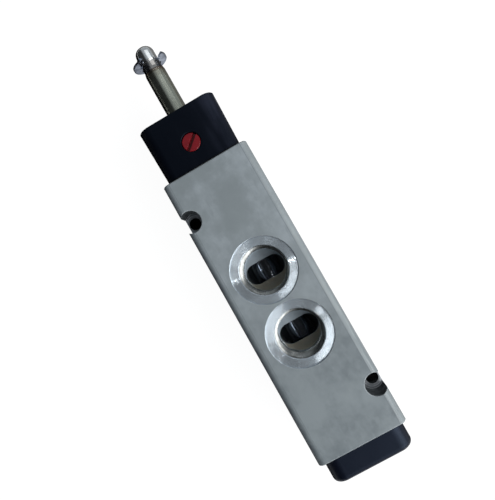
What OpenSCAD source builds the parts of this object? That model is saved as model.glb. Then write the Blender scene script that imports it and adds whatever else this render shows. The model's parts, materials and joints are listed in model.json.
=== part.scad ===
// Five-port, two-position pilot valve: a cast body with a sliding spool, a pilot head
// with a manual override, and a bare core tube whose coil is off. Millimetres.
// The origin is the middle of the body's back face. X runs along the spool towards the
// pilot head, and Z points out of the front face, which holds the two work ports.

/* [Body] */
// Length of the body along the spool
body_l = 133; // [130:0.5:140]
// Width of the body
body_w = 40.5; // [40:0.5:46]
// Depth from the back face to the front face
body_d = 50; // [49:0.5:56]
// Rounding of the body's four long edges
body_edge_r = 3; // [0.5:0.1:3.2]
// Chamfer round the body's two ends
body_chamfer = 0.4; // [0.2:0.05:0.6]
// Chamfer at the mouths of holes and pockets
rim_chamfer = 0.25; // [0.1:0.05:0.3]

/* [Ports] */
// Distance between neighbouring ports on one face
port_pitch = 30; // [29.6:0.1:32]
// Major diameter of the port thread
thread_d = 20.955; // [19:0.001:21.2]
// Depth of the threaded wall below the face
thread_depth = 13; // [10:0.1:13.5]
// Diameter of the port's floor
port_floor_d = 18.6; // [18.4:0.1:18.9]
// Depth of the port's floor below the face
port_depth = 14.5; // [13.8:0.1:14.8]
// Diameter of the turned spot face
spot_d = 28.7; // [24:0.1:29.4]
// Depth of the turned spot face
spot_depth = 0.55; // [0.3:0.05:1]
// Chamfer round the spot face's rim
spot_chamfer = 0.12; // [0.05:0.01:0.2]
// Chamfer at the mouth of the thread
mouth_chamfer = 0.25; // [0.2:0.05:0.8]
// Length of the slot in the port's floor, across the spool
slot_l = 18.2; // [15:0.1:18.3]
// Width of the slot in the port's floor, along the spool
slot_w = 9.2; // [7:0.1:9.4]

/* [Mounting holes] */
// Distance between the two mounting holes along the body
mount_span = 95.5; // [92:0.5:98]
// Distance from a mounting hole's axis to the nearest side of the body
mount_edge = 3.3; // [3.3:0.1:4.5]
// Diameter of the mounting holes
mount_hole_d = 5.5; // [4.5:0.1:5.8]
// Diameter of their counterbores
mount_counterbore_d = 9.6; // [8:0.1:10]
// Depth of their counterbores
mount_counterbore_depth = 12; // [4:0.1:13]

/* [Spool and bore] */
// Diameter of the spool's bore
bore_d = 18; // [17:0.1:18.4]
// Diameter of the ring chambers round the bore
chamber_d = 20.4; // [20:0.1:20.8]
// Width of each ring chamber
chamber_w = 9.6; // [9.5:0.1:10]
// Diameter of the spool between its lands
spool_neck_d = 12; // [11.5:0.1:13]
// Width of the land that holds each seal
land_w = 3.5; // [3.2:0.1:3.8]
// Section of the spool's seals
spool_seal_d = 1.9; // [1.6:0.05:2]
// Length of the spool's tail beyond its last land
spool_tail_l = 4; // [3.5:0.1:6]
// Depth of the spring's pocket in the spool's tail
tail_pocket = 3.5; // [2:0.1:3.5]
// Running clearance of spool, piston and plunger, on the radius
slide_gap = 0.08; // [0.05:0.01:0.1]

/* [Pilot piston] */
// Diameter of the piston's bore
piston_bore_d = 26; // [24:0.1:26.4]
// Thickness of the piston
piston_t = 4.5; // [4:0.1:5]
// Section of the piston's seal
piston_seal_d = 2; // [1.6:0.05:2.2]

/* [Return spring] */
// Wire of the return spring
return_wire_d = 1.2; // [0.9:0.05:1.3]
// Mean diameter of the return spring's coil
return_coil_d = 8.6; // [8.4:0.05:8.8]
// Turns of the return spring
return_turns = 9; // [6:1:11]

/* [Pilot head] */
// Length of the pilot head
head_l = 25.4; // [25:0.1:30]
// Step from the body's side in to the head's side at the joint
head_inset_y = 2.7; // [2.5:0.1:3.1]
// Step from the body's front face down to the head's at the joint
head_inset_z = 1; // [0.5:0.1:2]
// Growth of each side of the head from the joint to its end
head_draft = 0.7; // [0:0.05:0.9]
// Chamfer round the head's end
head_chamfer = 0.3; // [0.1:0.05:0.5]
// Corner radius of the head's section at the joint
head_corner_r = 4.6; // [2:0.1:5]
// Distance from the head's side to its screws
head_screw_y = 4.9; // [4.8:0.1:5.2]
// Distance from the head's front or back to its screws
head_screw_z = 7; // [6:0.1:7.5]

/* [End cap] */
// Length of the end cap
cap_l = 11; // [10:0.1:14]
// Step from the body's side in to the cap's side
cap_inset_y = 1.8; // [1:0.1:2.5]
// Step from the body's front face down to the cap's
cap_inset_z = 3; // [1:0.1:3.5]
// Corner radius of the cap's section
cap_corner_r = 6; // [4:0.1:7]
// Rounding round the cap's end
cap_edge_r = 2.5; // [1:0.1:2.8]
// Distance from the cap's side to its screws
cap_screw_y = 6.4; // [6:0.1:7]
// Distance from the cap's front or back to its screws
cap_screw_z = 6.3; // [6:0.1:7]
// Depth of the cap's spring pocket
cap_pocket = 4.4; // [3:0.1:5]

/* [Gaskets and seals] */
// Thickness of both gaskets
gasket_t = 0.5; // [0.3:0.05:0.8]
// Step from a housing's side in to its gasket's edge
gasket_inset = 0.3; // [0.1:0.05:0.5]
// Clearance of each seal in its groove, on the radius
seal_gap = 0.04; // [0.02:0.01:0.06]

/* [Screws] */
// Diameter of the housing screws
screw_d = 4; // [3.5:0.1:4]
// Diameter of their heads
screw_head_d = 7; // [6.5:0.1:7]
// Height of their heads
screw_head_h = 4; // [3:0.1:4]
// Width across the flats of their sockets
screw_socket = 3; // [2.5:0.1:3]
// Depth of their holes in the body
screw_hole_depth = 11; // [10:0.1:12]
// Depth of the counterbores that hold their heads
screw_counterbore_depth = 4.5; // [4.2:0.1:5]
// Clearance round heads and shanks, on the radius
screw_gap = 0.25; // [0.1:0.05:0.3]
// Clearance of the thread in the body, on the radius
thread_gap = 0.05; // [0.02:0.01:0.1]

/* [Core tube] */
// Outer diameter of the core tube
tube_d = 10.1; // [9.8:0.05:10.4]
// Wall of the core tube
tube_wall = 0.55; // [0.4:0.05:0.6]
// Length of the tube beyond the head
tube_l = 29.3; // [28:0.1:32]
// Diameter of the tube's flange
flange_d = 13.6; // [13.2:0.1:14]
// Thickness of the tube's flange
flange_t = 2; // [1.5:0.1:2.2]
// Diameter of the ring nut
nut_d = 22; // [20:0.1:22.4]
// Thickness of the ring nut
nut_t = 4; // [3:0.1:4]
// Section of the seal under the tube's flange
tube_seal_d = 1.3; // [1.1:0.05:1.4]

/* [Fixed core] */
// Diameter of the fixed core's neck and domed end
core_neck_d = 9.2; // [8.4:0.1:9.2]
// Length of the cone from the tube down to the neck
core_cone_l = 2.3; // [1.5:0.1:3.5]
// Distance from the tube's end to the clip's groove
core_groove_x = 4.7; // [4:0.1:5.5]
// Width of the clip's groove
core_groove_w = 1.2; // [1.1:0.05:1.6]
// Bottom diameter of the clip's groove
core_groove_d = 8; // [7.4:0.1:8]
// Length of the fixed core beyond the tube
core_l = 14; // [12:0.1:17]
// Rounding of the domed end
core_dome_r = 3.6; // [1.5:0.1:3.7]
// Depth of the fixed core in the tube
core_depth = 7.9; // [6:0.1:8.6]
// Diameter of the exhaust hole through the fixed core
exhaust_d = 1.5; // [1:0.1:1.8]
// Height of the exhaust seat on the pole face
exhaust_seat_h = 0.3; // [0.2:0.05:0.5]

/* [Plunger] */
// Travel of the plunger
plunger_stroke = 1.5; // [1:0.1:2]
// Diameter of the plunger's upper neck
plunger_neck_d = 5.8; // [5:0.1:6]
// Length of the plunger's upper neck
plunger_neck_l = 7.7; // [6:0.1:9]
// Diameter of the plunger's seal discs
plunger_seal_d = 4.2; // [3.6:0.1:4.4]
// Thickness of the plunger's seal discs
plunger_seal_t = 1.8; // [1.4:0.1:2.2]
// Height by which a seal disc stands out of the plunger
seal_proud = 0.3; // [0.2:0.05:0.4]
// Wire of the plunger's spring
plunger_wire_d = 0.6; // [0.4:0.05:0.65]
// Turns of the plunger's spring
plunger_turns = 6; // [4:1:7]

/* [Seat nozzle] */
// Diameter of the nozzle's pressed shank
nozzle_d = 6; // [5.5:0.1:6.4]
// Length of the nozzle's pressed shank
nozzle_shank = 2.2; // [2:0.1:2.6]
// Diameter of the nozzle's tip
nozzle_tip_d = 2.4; // [2.2:0.1:2.8]
// Diameter of the nozzle's orifice
orifice_d = 1.2; // [0.8:0.1:1.4]

/* [Manual override] */
// Distance from the joint to the override's axis
override_x = 10.3; // [10:0.1:10.6]
// Diameter of the override's slotted head
override_d = 8; // [7.6:0.1:8.2]
// Diameter of the hole round the slotted head
override_hole_d = 8.6; // [8.6:0.1:9.2]
// Chamfer at the mouth of the override's hole
override_chamfer = 0.1; // [0.05:0.05:0.3]
// Depth of the hole round the slotted head
override_hole_depth = 8.4; // [8:0.1:9]
// Depth of the head's face below the housing's face
override_sink = 0.15; // [0:0.05:0.5]
// Width of the screwdriver slot
override_slot_w = 1.6; // [1:0.1:2]
// Depth of the screwdriver slot
override_slot_depth = 1.8; // [1:0.1:2.2]
// Direction of the slot at rest, in degrees from X
override_slot_angle = -49; // [-90:1:0]
// Diameter of the override's bore
spindle_bore_d = 5; // [4.8:0.1:5]
// Distance from the spool axis down to the bore's end
spindle_reach = 6.4; // [6:0.1:7]
// Turn of the override between its stops
override_turn = 90; // [60:5:90]
// Diameter of the pin that holds the override
pin_d = 1.5; // [1.2:0.05:1.6]
// Length of the pin
pin_l = 14; // [13.5:0.1:14.2]
// Depth of the pin's groove in the override's head
pin_groove_depth = 1; // [0.8:0.05:1.1]

/* [Pilot passages] */
// Diameter of the long supply passage
supply_d = 2.4; // [1.6:0.1:2.4]
// Distance from the body's side in to the supply passage
supply_edge = 5.5; // [5.4:0.05:5.6]
// Distance from the spool axis down to the supply passage
supply_z = 9; // [8.5:0.1:9.5]
// Diameter of the cross passages
cross_d = 1.8; // [1.2:0.1:2]
// Diameter of the two fine passages to the piston
fine_d = 1.4; // [1:0.1:1.5]
// Diameter of the vents beside the spool's bore
vent_d = 1.2; // [0.8:0.1:1.2]

/* [Retaining clip] */
// Thickness of the clip
clip_t = 1; // [0.8:0.05:1]
// Outer radius of the clip
clip_r = 8.05; // [7.9:0.05:8.4]
// Outer radius of the clip's longer arm
clip_arm_r = 6.8; // [6.7:0.05:7]
// Radius of the relief between the clip's prongs
clip_relief_r = 5.5; // [5.3:0.05:5.7]
// Width of each prong
clip_prong_w = 2.6; // [2:0.1:3]
// Radius of the lobe at the end of the longer arm
clip_lobe_r = 1.35; // [1.25:0.05:1.5]
// Radius of the eye in that lobe
clip_eye_r = 0.6; // [0.4:0.05:0.65]

/* [Hidden] */
$fn = 72;
over = 1;

// Small clearances that belong to no single piece
rest_gap = 0.1;
press_gap = 0.02;
flange_gap = 0.1;
nut_gap = 0.05;
coil_play = 0.3;
clip_play = 0.03;
screw_tip_gap = 2;

// Main planes and axes
half_l = body_l / 2;
axis_z = body_d / 2;
head_x = half_l + gasket_t;
head_end = head_x + head_l;
cap_x = half_l + gasket_t;
cap_end = cap_x + cap_l;
head_w = body_w - 2 * head_inset_y;
head_d = body_d - 2 * head_inset_z;
cap_w = body_w - 2 * cap_inset_y;
cap_d = body_d - 2 * cap_inset_z;
head_screws_at = [head_w / 2 - head_screw_y, head_d / 2 - head_screw_z];
cap_screws_at = [cap_w / 2 - cap_screw_y, cap_d / 2 - cap_screw_z];

// Ports and chambers: two work ports in front, a supply and two exhausts behind
chamber_pitch = port_pitch / 2;
front_ports = [chamber_pitch, -chamber_pitch];
back_ports = [port_pitch, 0, -port_pitch];
chambers = [for (i = [-2:2]) i * chamber_pitch];
mount_x = mount_span / 2;
mount_y = body_w / 2 - mount_edge;

// Spool, at rest with the supply open to the port nearer the end cap
stroke = chamber_pitch / 2;
seal_reach = 2 * chamber_pitch + chamber_w / 2 + land_w;
spool_seals_at = [seal_reach + stroke, 2 * chamber_pitch, stroke, 0, -3 * stroke, -seal_reach];
spool_r = bore_d / 2 - slide_gap;
spool_groove_r = bore_d / 2 - spool_seal_d - 2 * seal_gap;
spool_groove_w = spool_seal_d + 2 * seal_gap;
spool_tail_x = -seal_reach - spool_tail_l;
spring_top_x = spool_tail_x + tail_pocket;

// Pilot piston, which rests just short of the head
piston_x = head_x - rest_gap - piston_t;
piston_floor_x = piston_x - stroke - rest_gap;
piston_r = piston_bore_d / 2 - slide_gap;

// Return spring and its seat in the end cap
seat_disc_t = 1.5;
seat_spigot_l = 8;
seat_disc_r = bore_d / 2 - coil_play;
seat_x = -(cap_x + cap_pocket);
spring_foot_x = seat_x + seat_disc_t;
tail_pocket_r = (return_coil_d + return_wire_d) / 2 + coil_play;
spigot_r = (return_coil_d - return_wire_d) / 2 - coil_play;

// Core tube, its nut and its flange in the head
tube_r = tube_d / 2;
tube_bore_r = tube_r - tube_wall;
nut_x = head_end - nut_t;
flange_x = nut_x - flange_t;
tube_end = head_end + tube_l;
seal_seat_x = flange_x - tube_seal_d - 2 * seal_gap;
chamber_wall_r = flange_d / 2 + flange_gap;
pilot_chamber_r = chamber_wall_r - tube_seal_d - 6 * seal_gap;
pilot_chamber_h = 0.65;
nozzle_seat_x = seal_seat_x - pilot_chamber_h;
nozzle_x = nozzle_seat_x - nozzle_shank;
nozzle_rise = 0.2;
nozzle_tip_x = flange_x + nozzle_rise;

// Plunger between the nozzle and the fixed core's exhaust seat
plunger_x = nozzle_tip_x + seal_proud;
plunger_r = tube_bore_r - slide_gap;
pole_x = tube_end - core_depth;
plunger_top = pole_x - exhaust_seat_h - plunger_stroke - seal_proud;
shoulder_x = plunger_top - plunger_neck_l;
plunger_coil_r = (plunger_neck_d / 2 + plunger_r) / 2;
core_neck_r = core_neck_d / 2;
core_end = tube_end + core_l;

// Manual override across the head
ovr_x = head_x + override_x;
ovr_face_z = axis_z + head_d / 2 + head_draft * override_x / head_l;
ovr_top_z = ovr_face_z - override_sink;
ovr_floor_z = ovr_face_z - override_hole_depth;
ovr_foot_z = ovr_floor_z + rest_gap;
spindle_r = spindle_bore_d / 2 - slide_gap / 2;
spindle_end_z = axis_z - spindle_reach;
spindle_seal_d = 0.9;
spindle_groove_r = spindle_bore_d / 2 - spindle_seal_d - 2 * seal_gap;
spindle_seal_z = ovr_floor_z - 2.5;
pin_groove_r = override_d / 2 - pin_groove_depth;
pin_play = 0.05;
pin_collar_t = 0.7;
pin_groove_w = pin_d + 6 * pin_play;
pin_z = ovr_foot_z + pin_groove_w / 2 + pin_collar_t;
pin_y = pin_groove_r + pin_play + pin_d / 2;
pin_half_angle = acos((pin_y - pin_d / 2) / (override_d / 2)) + 3;
bypass_z = axis_z - 4;
bypass_w = 1.6 * fine_d;
bypass_cut = 0.9;
bypass_flat = spindle_r - bypass_cut;

// Supply passage and the cross passages that leave it
supply_at = [supply_edge - body_w / 2, axis_z - supply_z];
nozzle_feed_x = nozzle_x - cross_d / 2 - rest_gap;
feed_margin = 0.4;
plug_r = cross_d / 2 - press_gap;
plug_depth = 1.05;
port_way_drop = 4.5;
vent_wall = 0.15;
vent_y = bore_d / 2 + vent_wall + vent_d / 2;

// Clip in the fixed core's groove
clip_x = tube_end + core_groove_x + (core_groove_w - clip_t) / 2;
clip_fit_r = core_groove_d / 2 + clip_play;
clip_centre = [-0.6, 0.6];
clip_arm_at = [1.5, 1.7];
clip_step_y = 4.6;
clip_mouth = [[0, 0], [4.2, 11.3], [-10.6, 9.3], [-3.06, 0]];
clip_lobe_at = [2.9, 8.3];
clip_prongs = [5, 180, 268];

// A solid of revolution about the spool axis, from a profile of [x along the axis, radius]
module lathe_x(profile) {
    translate([0, 0, axis_z])
        rotate([0, 90, 0])
            rotate_extrude()
                polygon([for (p = profile) [p[1], p[0]]]);
}

// A round bar or hole along X between two stations
module round_x(x0, x1, r, y = 0, z = axis_z) {
    translate([x0, y, z])
        rotate([0, 90, 0])
            cylinder(h = x1 - x0, r = r);
}

// Chamfered mouth of a round hole along Z that opens at 0 towards +Z
module mouth_z(r, chamfer) {
    translate([0, 0, -chamfer])
        cylinder(h = 2 * chamfer, r1 = r, r2 = r + 2 * chamfer);
}

// A seal ring round Z
module ring_seal(mean_r, section_r) {
    rotate_extrude()
        translate([mean_r, 0])
            circle(r = section_r);
}

// A seal ring round the spool axis, with its middle plane at x
module ring_seal_x(x, mean_r, section_r) {
    translate([x, 0, axis_z])
        rotate([0, 90, 0])
            ring_seal(mean_r, section_r);
}

// Outline with round corners, centred
module round_rect(w, d, r) {
    union() {
        square([w - 2 * r, d], center = true);
        square([w, d - 2 * r], center = true);
        for (sy = [-1, 1], sz = [-1, 1])
            translate([sy * (w / 2 - r), sz * (d / 2 - r)])
                circle(r = r);
    }
}

// Puts an outline drawn in Y and Z on the spool axis and gives it a thickness along X
module plate_x(x, t) {
    translate([x, 0, axis_z])
        rotate([90, 0, 90])
            linear_extrude(t)
                children();
}

// The four places of a housing's screws
module at_screws(place) {
    for (sy = [-1, 1], sz = [-1, 1])
        translate([0, sy * place[0], axis_z + sz * place[1]])
            children();
}

// Socket-head screw along X with the underside of its head at 0 and its shank towards -X
module socket_screw(shank_l) {
    rotate([0, 90, 0])
        difference() {
            union() {
                cylinder(h = screw_head_h - rim_chamfer, d = screw_head_d);
                translate([0, 0, screw_head_h - rim_chamfer])
                    cylinder(h = rim_chamfer, d1 = screw_head_d, d2 = screw_head_d - 2 * rim_chamfer);
                translate([0, 0, -shank_l])
                    cylinder(h = shank_l + over, r = screw_d / 2 - thread_gap);
            }
            translate([0, 0, screw_head_h / 2])
                cylinder(h = screw_head_h, d = screw_socket / cos(30), $fn = 6);
        }
}

// Through hole and counterbore for one screw, the counterbore opening towards +X
module screw_pocket(x0, x1) {
    round_x(x0 - over, x1 + over, screw_d / 2 + screw_gap, 0, 0);
    round_x(x1 - screw_counterbore_depth, x1 + over, screw_head_d / 2 + screw_gap, 0, 0);
    translate([x1, 0, 0])
        rotate([0, 90, 0])
            mouth_z(screw_head_d / 2 + screw_gap, rim_chamfer);
}

// Height of a closed-end coil's wire after t turns out of n
function coil_height(t, n, wire, l) =
    let (closed = 1.04 * wire, open = (l - wire - 2 * closed) / (n - 2))
    t < 1 ? closed * t
    : t > n - 1 ? l - wire - closed * (n - t)
    : closed + open * (t - 1);

// Coil spring along Z from 0 to l, with one closed turn at each end
module coil_spring(mean_r, wire, l, turns, sides = 8, steps = 16) {
    rings = turns * steps;
    points = [for (i = [0:rings], j = [0:sides - 1])
        let (turn = i / steps, a = 360 * turn, s = 360 * j / sides,
             r = mean_r + wire / 2 * cos(s),
             h = coil_height(turn, turns, wire, l) + wire / 2 * (1 + sin(s)))
        [r * cos(a), r * sin(a), h]];
    near = [for (j = [0:sides - 1]) j];
    far = [for (j = [sides - 1:-1:0]) rings * sides + j];
    walls = [for (i = [0:rings - 1], j = [0:sides - 1])
        let (k = (j + 1) % sides, a = i * sides + j, b = i * sides + k)
        each [[a, a + sides, b], [b, a + sides, b + sides]]];
    polyhedron(points, concat([near, far], walls));
}

// One port, cut into the front face when side is 1 and into the back face when it is -1
module port_cut(x, side) {
    thread_r = thread_d / 2;
    floor_r = port_floor_d / 2;
    translate([x, 0, side > 0 ? body_d : 0])
        mirror([0, 0, side > 0 ? 0 : 1]) {
            rotate_extrude()
                polygon([[0, over], [spot_d / 2 + spot_chamfer, over],
                         [spot_d / 2 + spot_chamfer, 0], [spot_d / 2, -spot_chamfer],
                         [spot_d / 2, -spot_depth], [thread_r + mouth_chamfer, -spot_depth],
                         [thread_r, -spot_depth - mouth_chamfer],
                         [thread_r, -thread_depth], [floor_r, -thread_depth],
                         [floor_r, -port_depth], [0, -port_depth]]);
            translate([0, 0, -axis_z])
                linear_extrude(axis_z - port_depth + over / 2)
                    slot_outline();
        }
}

// Obround slot in a port's floor, long across the spool
module slot_outline() {
    run = slot_l - slot_w;
    square([slot_w, run], center = true);
    for (side = [-1, 1])
        translate([0, side * run / 2])
            circle(d = slot_w);
}

// Mounting hole with its counterbore, which breaks out of the body's side
module mount_cut() {
    translate([0, 0, -over])
        cylinder(h = body_d + 2 * over, d = mount_hole_d);
    mirror([0, 0, 1])
        mouth_z(mount_hole_d / 2, rim_chamfer);
    translate([0, 0, body_d - mount_counterbore_depth])
        cylinder(h = mount_counterbore_depth + over, d = mount_counterbore_d);
    translate([0, 0, body_d])
        mouth_z(mount_counterbore_d / 2, rim_chamfer);
}

// Round passage from one point to another, both in the plane across the spool at x
module cross_passage(x, from, to, r) {
    run = to - from;
    translate([x, from[0], from[1]])
        rotate([atan2(run[1], run[0]) - 90, 0, 0])
            cylinder(h = norm(run), r = r);
}

module valve_body() {
    color("#8b9194")
        difference() {
            body_block();
            bore_cut();
            for (x = front_ports)
                port_cut(x, 1);
            for (x = back_ports)
                port_cut(x, -1);
            for (s = [-1, 1])
                translate([s * mount_x, s * mount_y, 0])
                    mount_cut();
            at_screws(head_screws_at)
                round_x(half_l - screw_hole_depth, half_l + over, screw_d / 2, 0, 0);
            at_screws(cap_screws_at)
                round_x(-half_l - over, -half_l + screw_hole_depth, screw_d / 2, 0, 0);
            body_passages();
        }
}

// Long block with rounded edges and a chamfer round each end
module body_block() {
    main_l = body_l - 2 * body_chamfer;
    plate_x(-main_l / 2, main_l)
        round_rect(body_w, body_d, body_edge_r);
    for (end = [0, 1])
        mirror([end, 0, 0])
            translate([main_l / 2, 0, axis_z])
                drafted_block(body_chamfer, body_w, body_d, body_edge_r, -body_chamfer);
}

// Spool bore, ring chambers and the wider piston bore, with lead-in chamfers
module bore_cut() {
    bore_r = bore_d / 2;
    lead = 0.8;
    round_x(-half_l - over, piston_floor_x + over, bore_r);
    round_x(piston_floor_x, half_l + over, piston_bore_d / 2);
    for (x = chambers)
        round_x(x - chamber_w / 2, x + chamber_w / 2, chamber_d / 2);
    lathe_x([[-half_l - over, 0], [-half_l - over, bore_r + lead + over],
             [-half_l, bore_r + lead], [-half_l + 2 * lead, bore_r - press_gap],
             [-half_l + 2 * lead, 0]]);
}

// Supply passage from the middle back port to the head, and a vent beside each bore end
module body_passages() {
    vent_in = 2 * chamber_pitch + chamber_w / 2 - over;
    round_x(0, half_l + over, supply_d / 2, supply_at[0], supply_at[1]);
    cross_passage(0, [-thread_d / 2 + over, supply_at[1] - port_way_drop], supply_at, cross_d / 2);
    round_x(vent_in, piston_floor_x + over, vent_d / 2, vent_y);
    round_x(-half_l - over, -vent_in, vent_d / 2, -vent_y);
}

module spool() {
    color("#2b2f33")
        difference() {
            union() {
                round_x(spool_tail_x, piston_x, spool_neck_d / 2);
                round_x(spool_tail_x, -seal_reach, spool_r);
                for (x = spool_seals_at)
                    round_x(x - land_w / 2, x + land_w / 2, spool_r);
            }
            for (x = spool_seals_at)
                difference() {
                    round_x(x - spool_groove_w / 2, x + spool_groove_w / 2, spool_r + over);
                    round_x(x - over - spool_groove_w, x + over + spool_groove_w, spool_groove_r);
                }
            round_x(spool_tail_x - over, spring_top_x, tail_pocket_r);
        }
}

module spool_seals() {
    color("#181818")
        for (x = spool_seals_at)
            ring_seal_x(x, spool_groove_r + seal_gap + spool_seal_d / 2, spool_seal_d / 2);
}

module pilot_piston() {
    groove_r = piston_bore_d / 2 - piston_seal_d - 2 * seal_gap;
    groove_w = piston_seal_d + 2 * seal_gap;
    middle = piston_t / 2;
    chamfer = 0.4;
    color("#d8d4c8")
        translate([piston_x, 0, 0])
            lathe_x([[0, 0], [0, piston_r - chamfer], [chamfer, piston_r],
                     [middle - groove_w / 2, piston_r], [middle - groove_w / 2, groove_r],
                     [middle + groove_w / 2, groove_r], [middle + groove_w / 2, piston_r],
                     [piston_t - chamfer, piston_r], [piston_t, piston_r - chamfer],
                     [piston_t, 0]]);
}

module piston_seal() {
    color("#181818")
        ring_seal_x(piston_x + piston_t / 2, piston_bore_d / 2 - seal_gap - piston_seal_d / 2,
                    piston_seal_d / 2);
}

module return_spring() {
    color("#a9adb0")
        translate([spring_foot_x, 0, axis_z])
            rotate([0, 90, 0])
                coil_spring(return_coil_d / 2, return_wire_d, spring_top_x - spring_foot_x,
                            return_turns);
}

module spring_seat() {
    color("#d8d4c8")
        lathe_x([[seat_x, 0], [seat_x, seat_disc_r], [spring_foot_x, seat_disc_r],
                 [spring_foot_x, spigot_r], [spring_foot_x + seat_spigot_l - 1, spigot_r],
                 [spring_foot_x + seat_spigot_l, spigot_r - 1],
                 [spring_foot_x + seat_spigot_l, 0]]);
}

// Block along X from 0 to l whose far end has a rounding er all round
module soft_block(l, w, d, cr, er) {
    module edge_profile(half) {
        square([half, l - er]);
        square([half - er, l]);
        translate([half - er, l - er])
            circle(r = er);
    }
    module slab(half, depth) {
        translate([0, depth / 2, 0])
            rotate([90, 0, 0])
                linear_extrude(depth) {
                    edge_profile(half);
                    mirror([1, 0, 0])
                        edge_profile(half);
                }
    }
    rotate([90, 0, 90]) {
        slab(w / 2, d - 2 * cr);
        rotate([0, 0, 90])
            slab(d / 2, w - 2 * cr);
        for (sy = [-1, 1], sz = [-1, 1])
            translate([sy * (w / 2 - cr), sz * (d / 2 - cr), 0])
                rotate_extrude()
                    intersection() {
                        edge_profile(cr);
                        square([cr, l]);
                    }
    }
}

module end_cap() {
    color("#16171a")
        difference() {
            translate([-cap_x, 0, axis_z])
                mirror([1, 0, 0])
                    soft_block(cap_l, cap_w, cap_d, cap_corner_r, cap_edge_r);
            round_x(seat_x, -cap_x + over, seat_disc_r + flange_gap);
            mirror([1, 0, 0])
                at_screws(cap_screws_at)
                    screw_pocket(cap_x, cap_end);
        }
}

module cap_gasket() {
    color("#3a2f2a")
        difference() {
            plate_x(-cap_x, gasket_t)
                round_rect(cap_w - 2 * gasket_inset, cap_d - 2 * gasket_inset,
                           cap_corner_r - gasket_inset);
            round_x(-cap_x - over, -cap_x + gasket_t + over, vent_y + vent_d / 2 + flange_gap);
            at_screws(cap_screws_at)
                round_x(-cap_x - over, -cap_x + gasket_t + over, screw_d / 2 + screw_gap, 0, 0);
        }
}

module cap_screws() {
    reach = cap_l - screw_counterbore_depth + gasket_t + screw_hole_depth - screw_tip_gap;
    color("#8f949a")
        mirror([1, 0, 0])
            at_screws(cap_screws_at)
                translate([cap_end - screw_counterbore_depth, 0, 0])
                    socket_screw(reach);
}

// Block along X from 0 to l whose four sides lean out by draft over its length
module drafted_block(l, w, d, cr, draft) {
    module slab(half, depth) {
        translate([0, depth / 2, 0])
            rotate([90, 0, 0])
                linear_extrude(depth)
                    polygon([[-half, 0], [half, 0], [half + draft, l], [-half - draft, l]]);
    }
    rotate([90, 0, 90]) {
        slab(w / 2, d - 2 * cr);
        rotate([0, 0, 90])
            slab(d / 2, w - 2 * cr);
        for (sy = [-1, 1], sz = [-1, 1])
            translate([sy * (w / 2 - cr), sz * (d / 2 - cr), 0])
                cylinder(h = l, r1 = cr, r2 = cr + draft);
    }
}

module pilot_head() {
    color("#101216")
        difference() {
            head_block();
            tube_seat_cut();
            override_cut();
            head_passages();
            at_screws(head_screws_at)
                screw_pocket(head_x, head_end);
        }
}

// The head's moulded block, wider towards its chamfered end
module head_block() {
    main_l = head_l - head_chamfer;
    draft = head_draft * main_l / head_l;
    translate([head_x, 0, axis_z])
        drafted_block(main_l, head_w, head_d, head_corner_r, draft);
    translate([head_x + main_l, 0, axis_z])
        drafted_block(head_chamfer, head_w + 2 * draft, head_d + 2 * draft, head_corner_r + draft,
                      -head_chamfer);
}

// Stepped hole for the ring nut, the tube's flange, its seal and the nozzle
module tube_seat_cut() {
    nozzle_r = nozzle_d / 2;
    feed_r = cross_d / 2 + feed_margin;
    lathe_x([[nozzle_feed_x - cross_d / 2, 0], [nozzle_feed_x - cross_d / 2, feed_r],
             [nozzle_x, feed_r], [nozzle_x, nozzle_r], [nozzle_seat_x, nozzle_r],
             [nozzle_seat_x, pilot_chamber_r], [seal_seat_x, pilot_chamber_r],
             [seal_seat_x, chamber_wall_r], [nut_x, chamber_wall_r],
             [nut_x, nut_d / 2 + nut_gap], [head_end + over, nut_d / 2 + nut_gap],
             [head_end + over, 0]]);
}

// Stepped hole for the override, and the hole of the pin that holds it
module override_cut() {
    translate([ovr_x, 0, spindle_end_z - rest_gap])
        cylinder(h = ovr_floor_z - spindle_end_z + over, d = spindle_bore_d);
    translate([ovr_x, 0, ovr_floor_z])
        cylinder(h = override_hole_depth + over, d = override_hole_d);
    translate([ovr_x, 0, ovr_face_z])
        mouth_z(override_hole_d / 2, override_chamfer);
    round_x(head_x - over, head_x + pin_l + 2 * rest_gap, pin_d / 2 + press_gap, pin_y, pin_z);
}

// Supply to the nozzle and the override, and the two ways back to the piston
module head_passages() {
    side = [-head_w / 2 - over, 0];
    nozzle_way = [0, axis_z];
    bypass_way = [0, bypass_z];
    round_x(head_x - over, nozzle_feed_x + cross_d / 2, supply_d / 2, supply_at[0], supply_at[1]);
    cross_passage(nozzle_feed_x, beyond(nozzle_way, supply_at), nozzle_way, cross_d / 2);
    cross_passage(ovr_x, beyond(bypass_way, supply_at), bypass_way, cross_d / 2);
    round_x(head_x - over, seal_seat_x - rest_gap, fine_d / 2,
            pilot_chamber_r - fine_d / 2 - rest_gap);
    round_x(head_x - over, ovr_x, fine_d / 2, 0, bypass_z);
}

// The point on the line from a through b that lies just outside the head's side
function beyond(a, b) = a + (b - a) * (head_w / 2 + head_draft + over) / (a[0] - b[0]);

// The point on the same line where a cross passage is plugged
function plug_point(a, b) = a + (b - a) * (head_w / 2 - plug_depth) / (a[0] - b[0]);

module head_gasket() {
    color("#3a2f2a")
        difference() {
            plate_x(half_l, gasket_t)
                round_rect(head_w - 2 * gasket_inset, head_d - 2 * gasket_inset,
                           head_corner_r - gasket_inset);
            round_x(half_l - over, head_x + over, piston_bore_d / 2 + gasket_inset);
            round_x(half_l - over, head_x + over, supply_d / 2 + flange_gap, supply_at[0],
                    supply_at[1]);
            at_screws(head_screws_at)
                round_x(half_l - over, head_x + over, screw_d / 2 + screw_gap, 0, 0);
        }
}

module head_screws() {
    reach = head_l - screw_counterbore_depth + gasket_t + screw_hole_depth - screw_tip_gap;
    color("#8f949a")
        at_screws(head_screws_at)
            translate([head_end - screw_counterbore_depth, 0, 0])
                socket_screw(reach);
}

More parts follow.
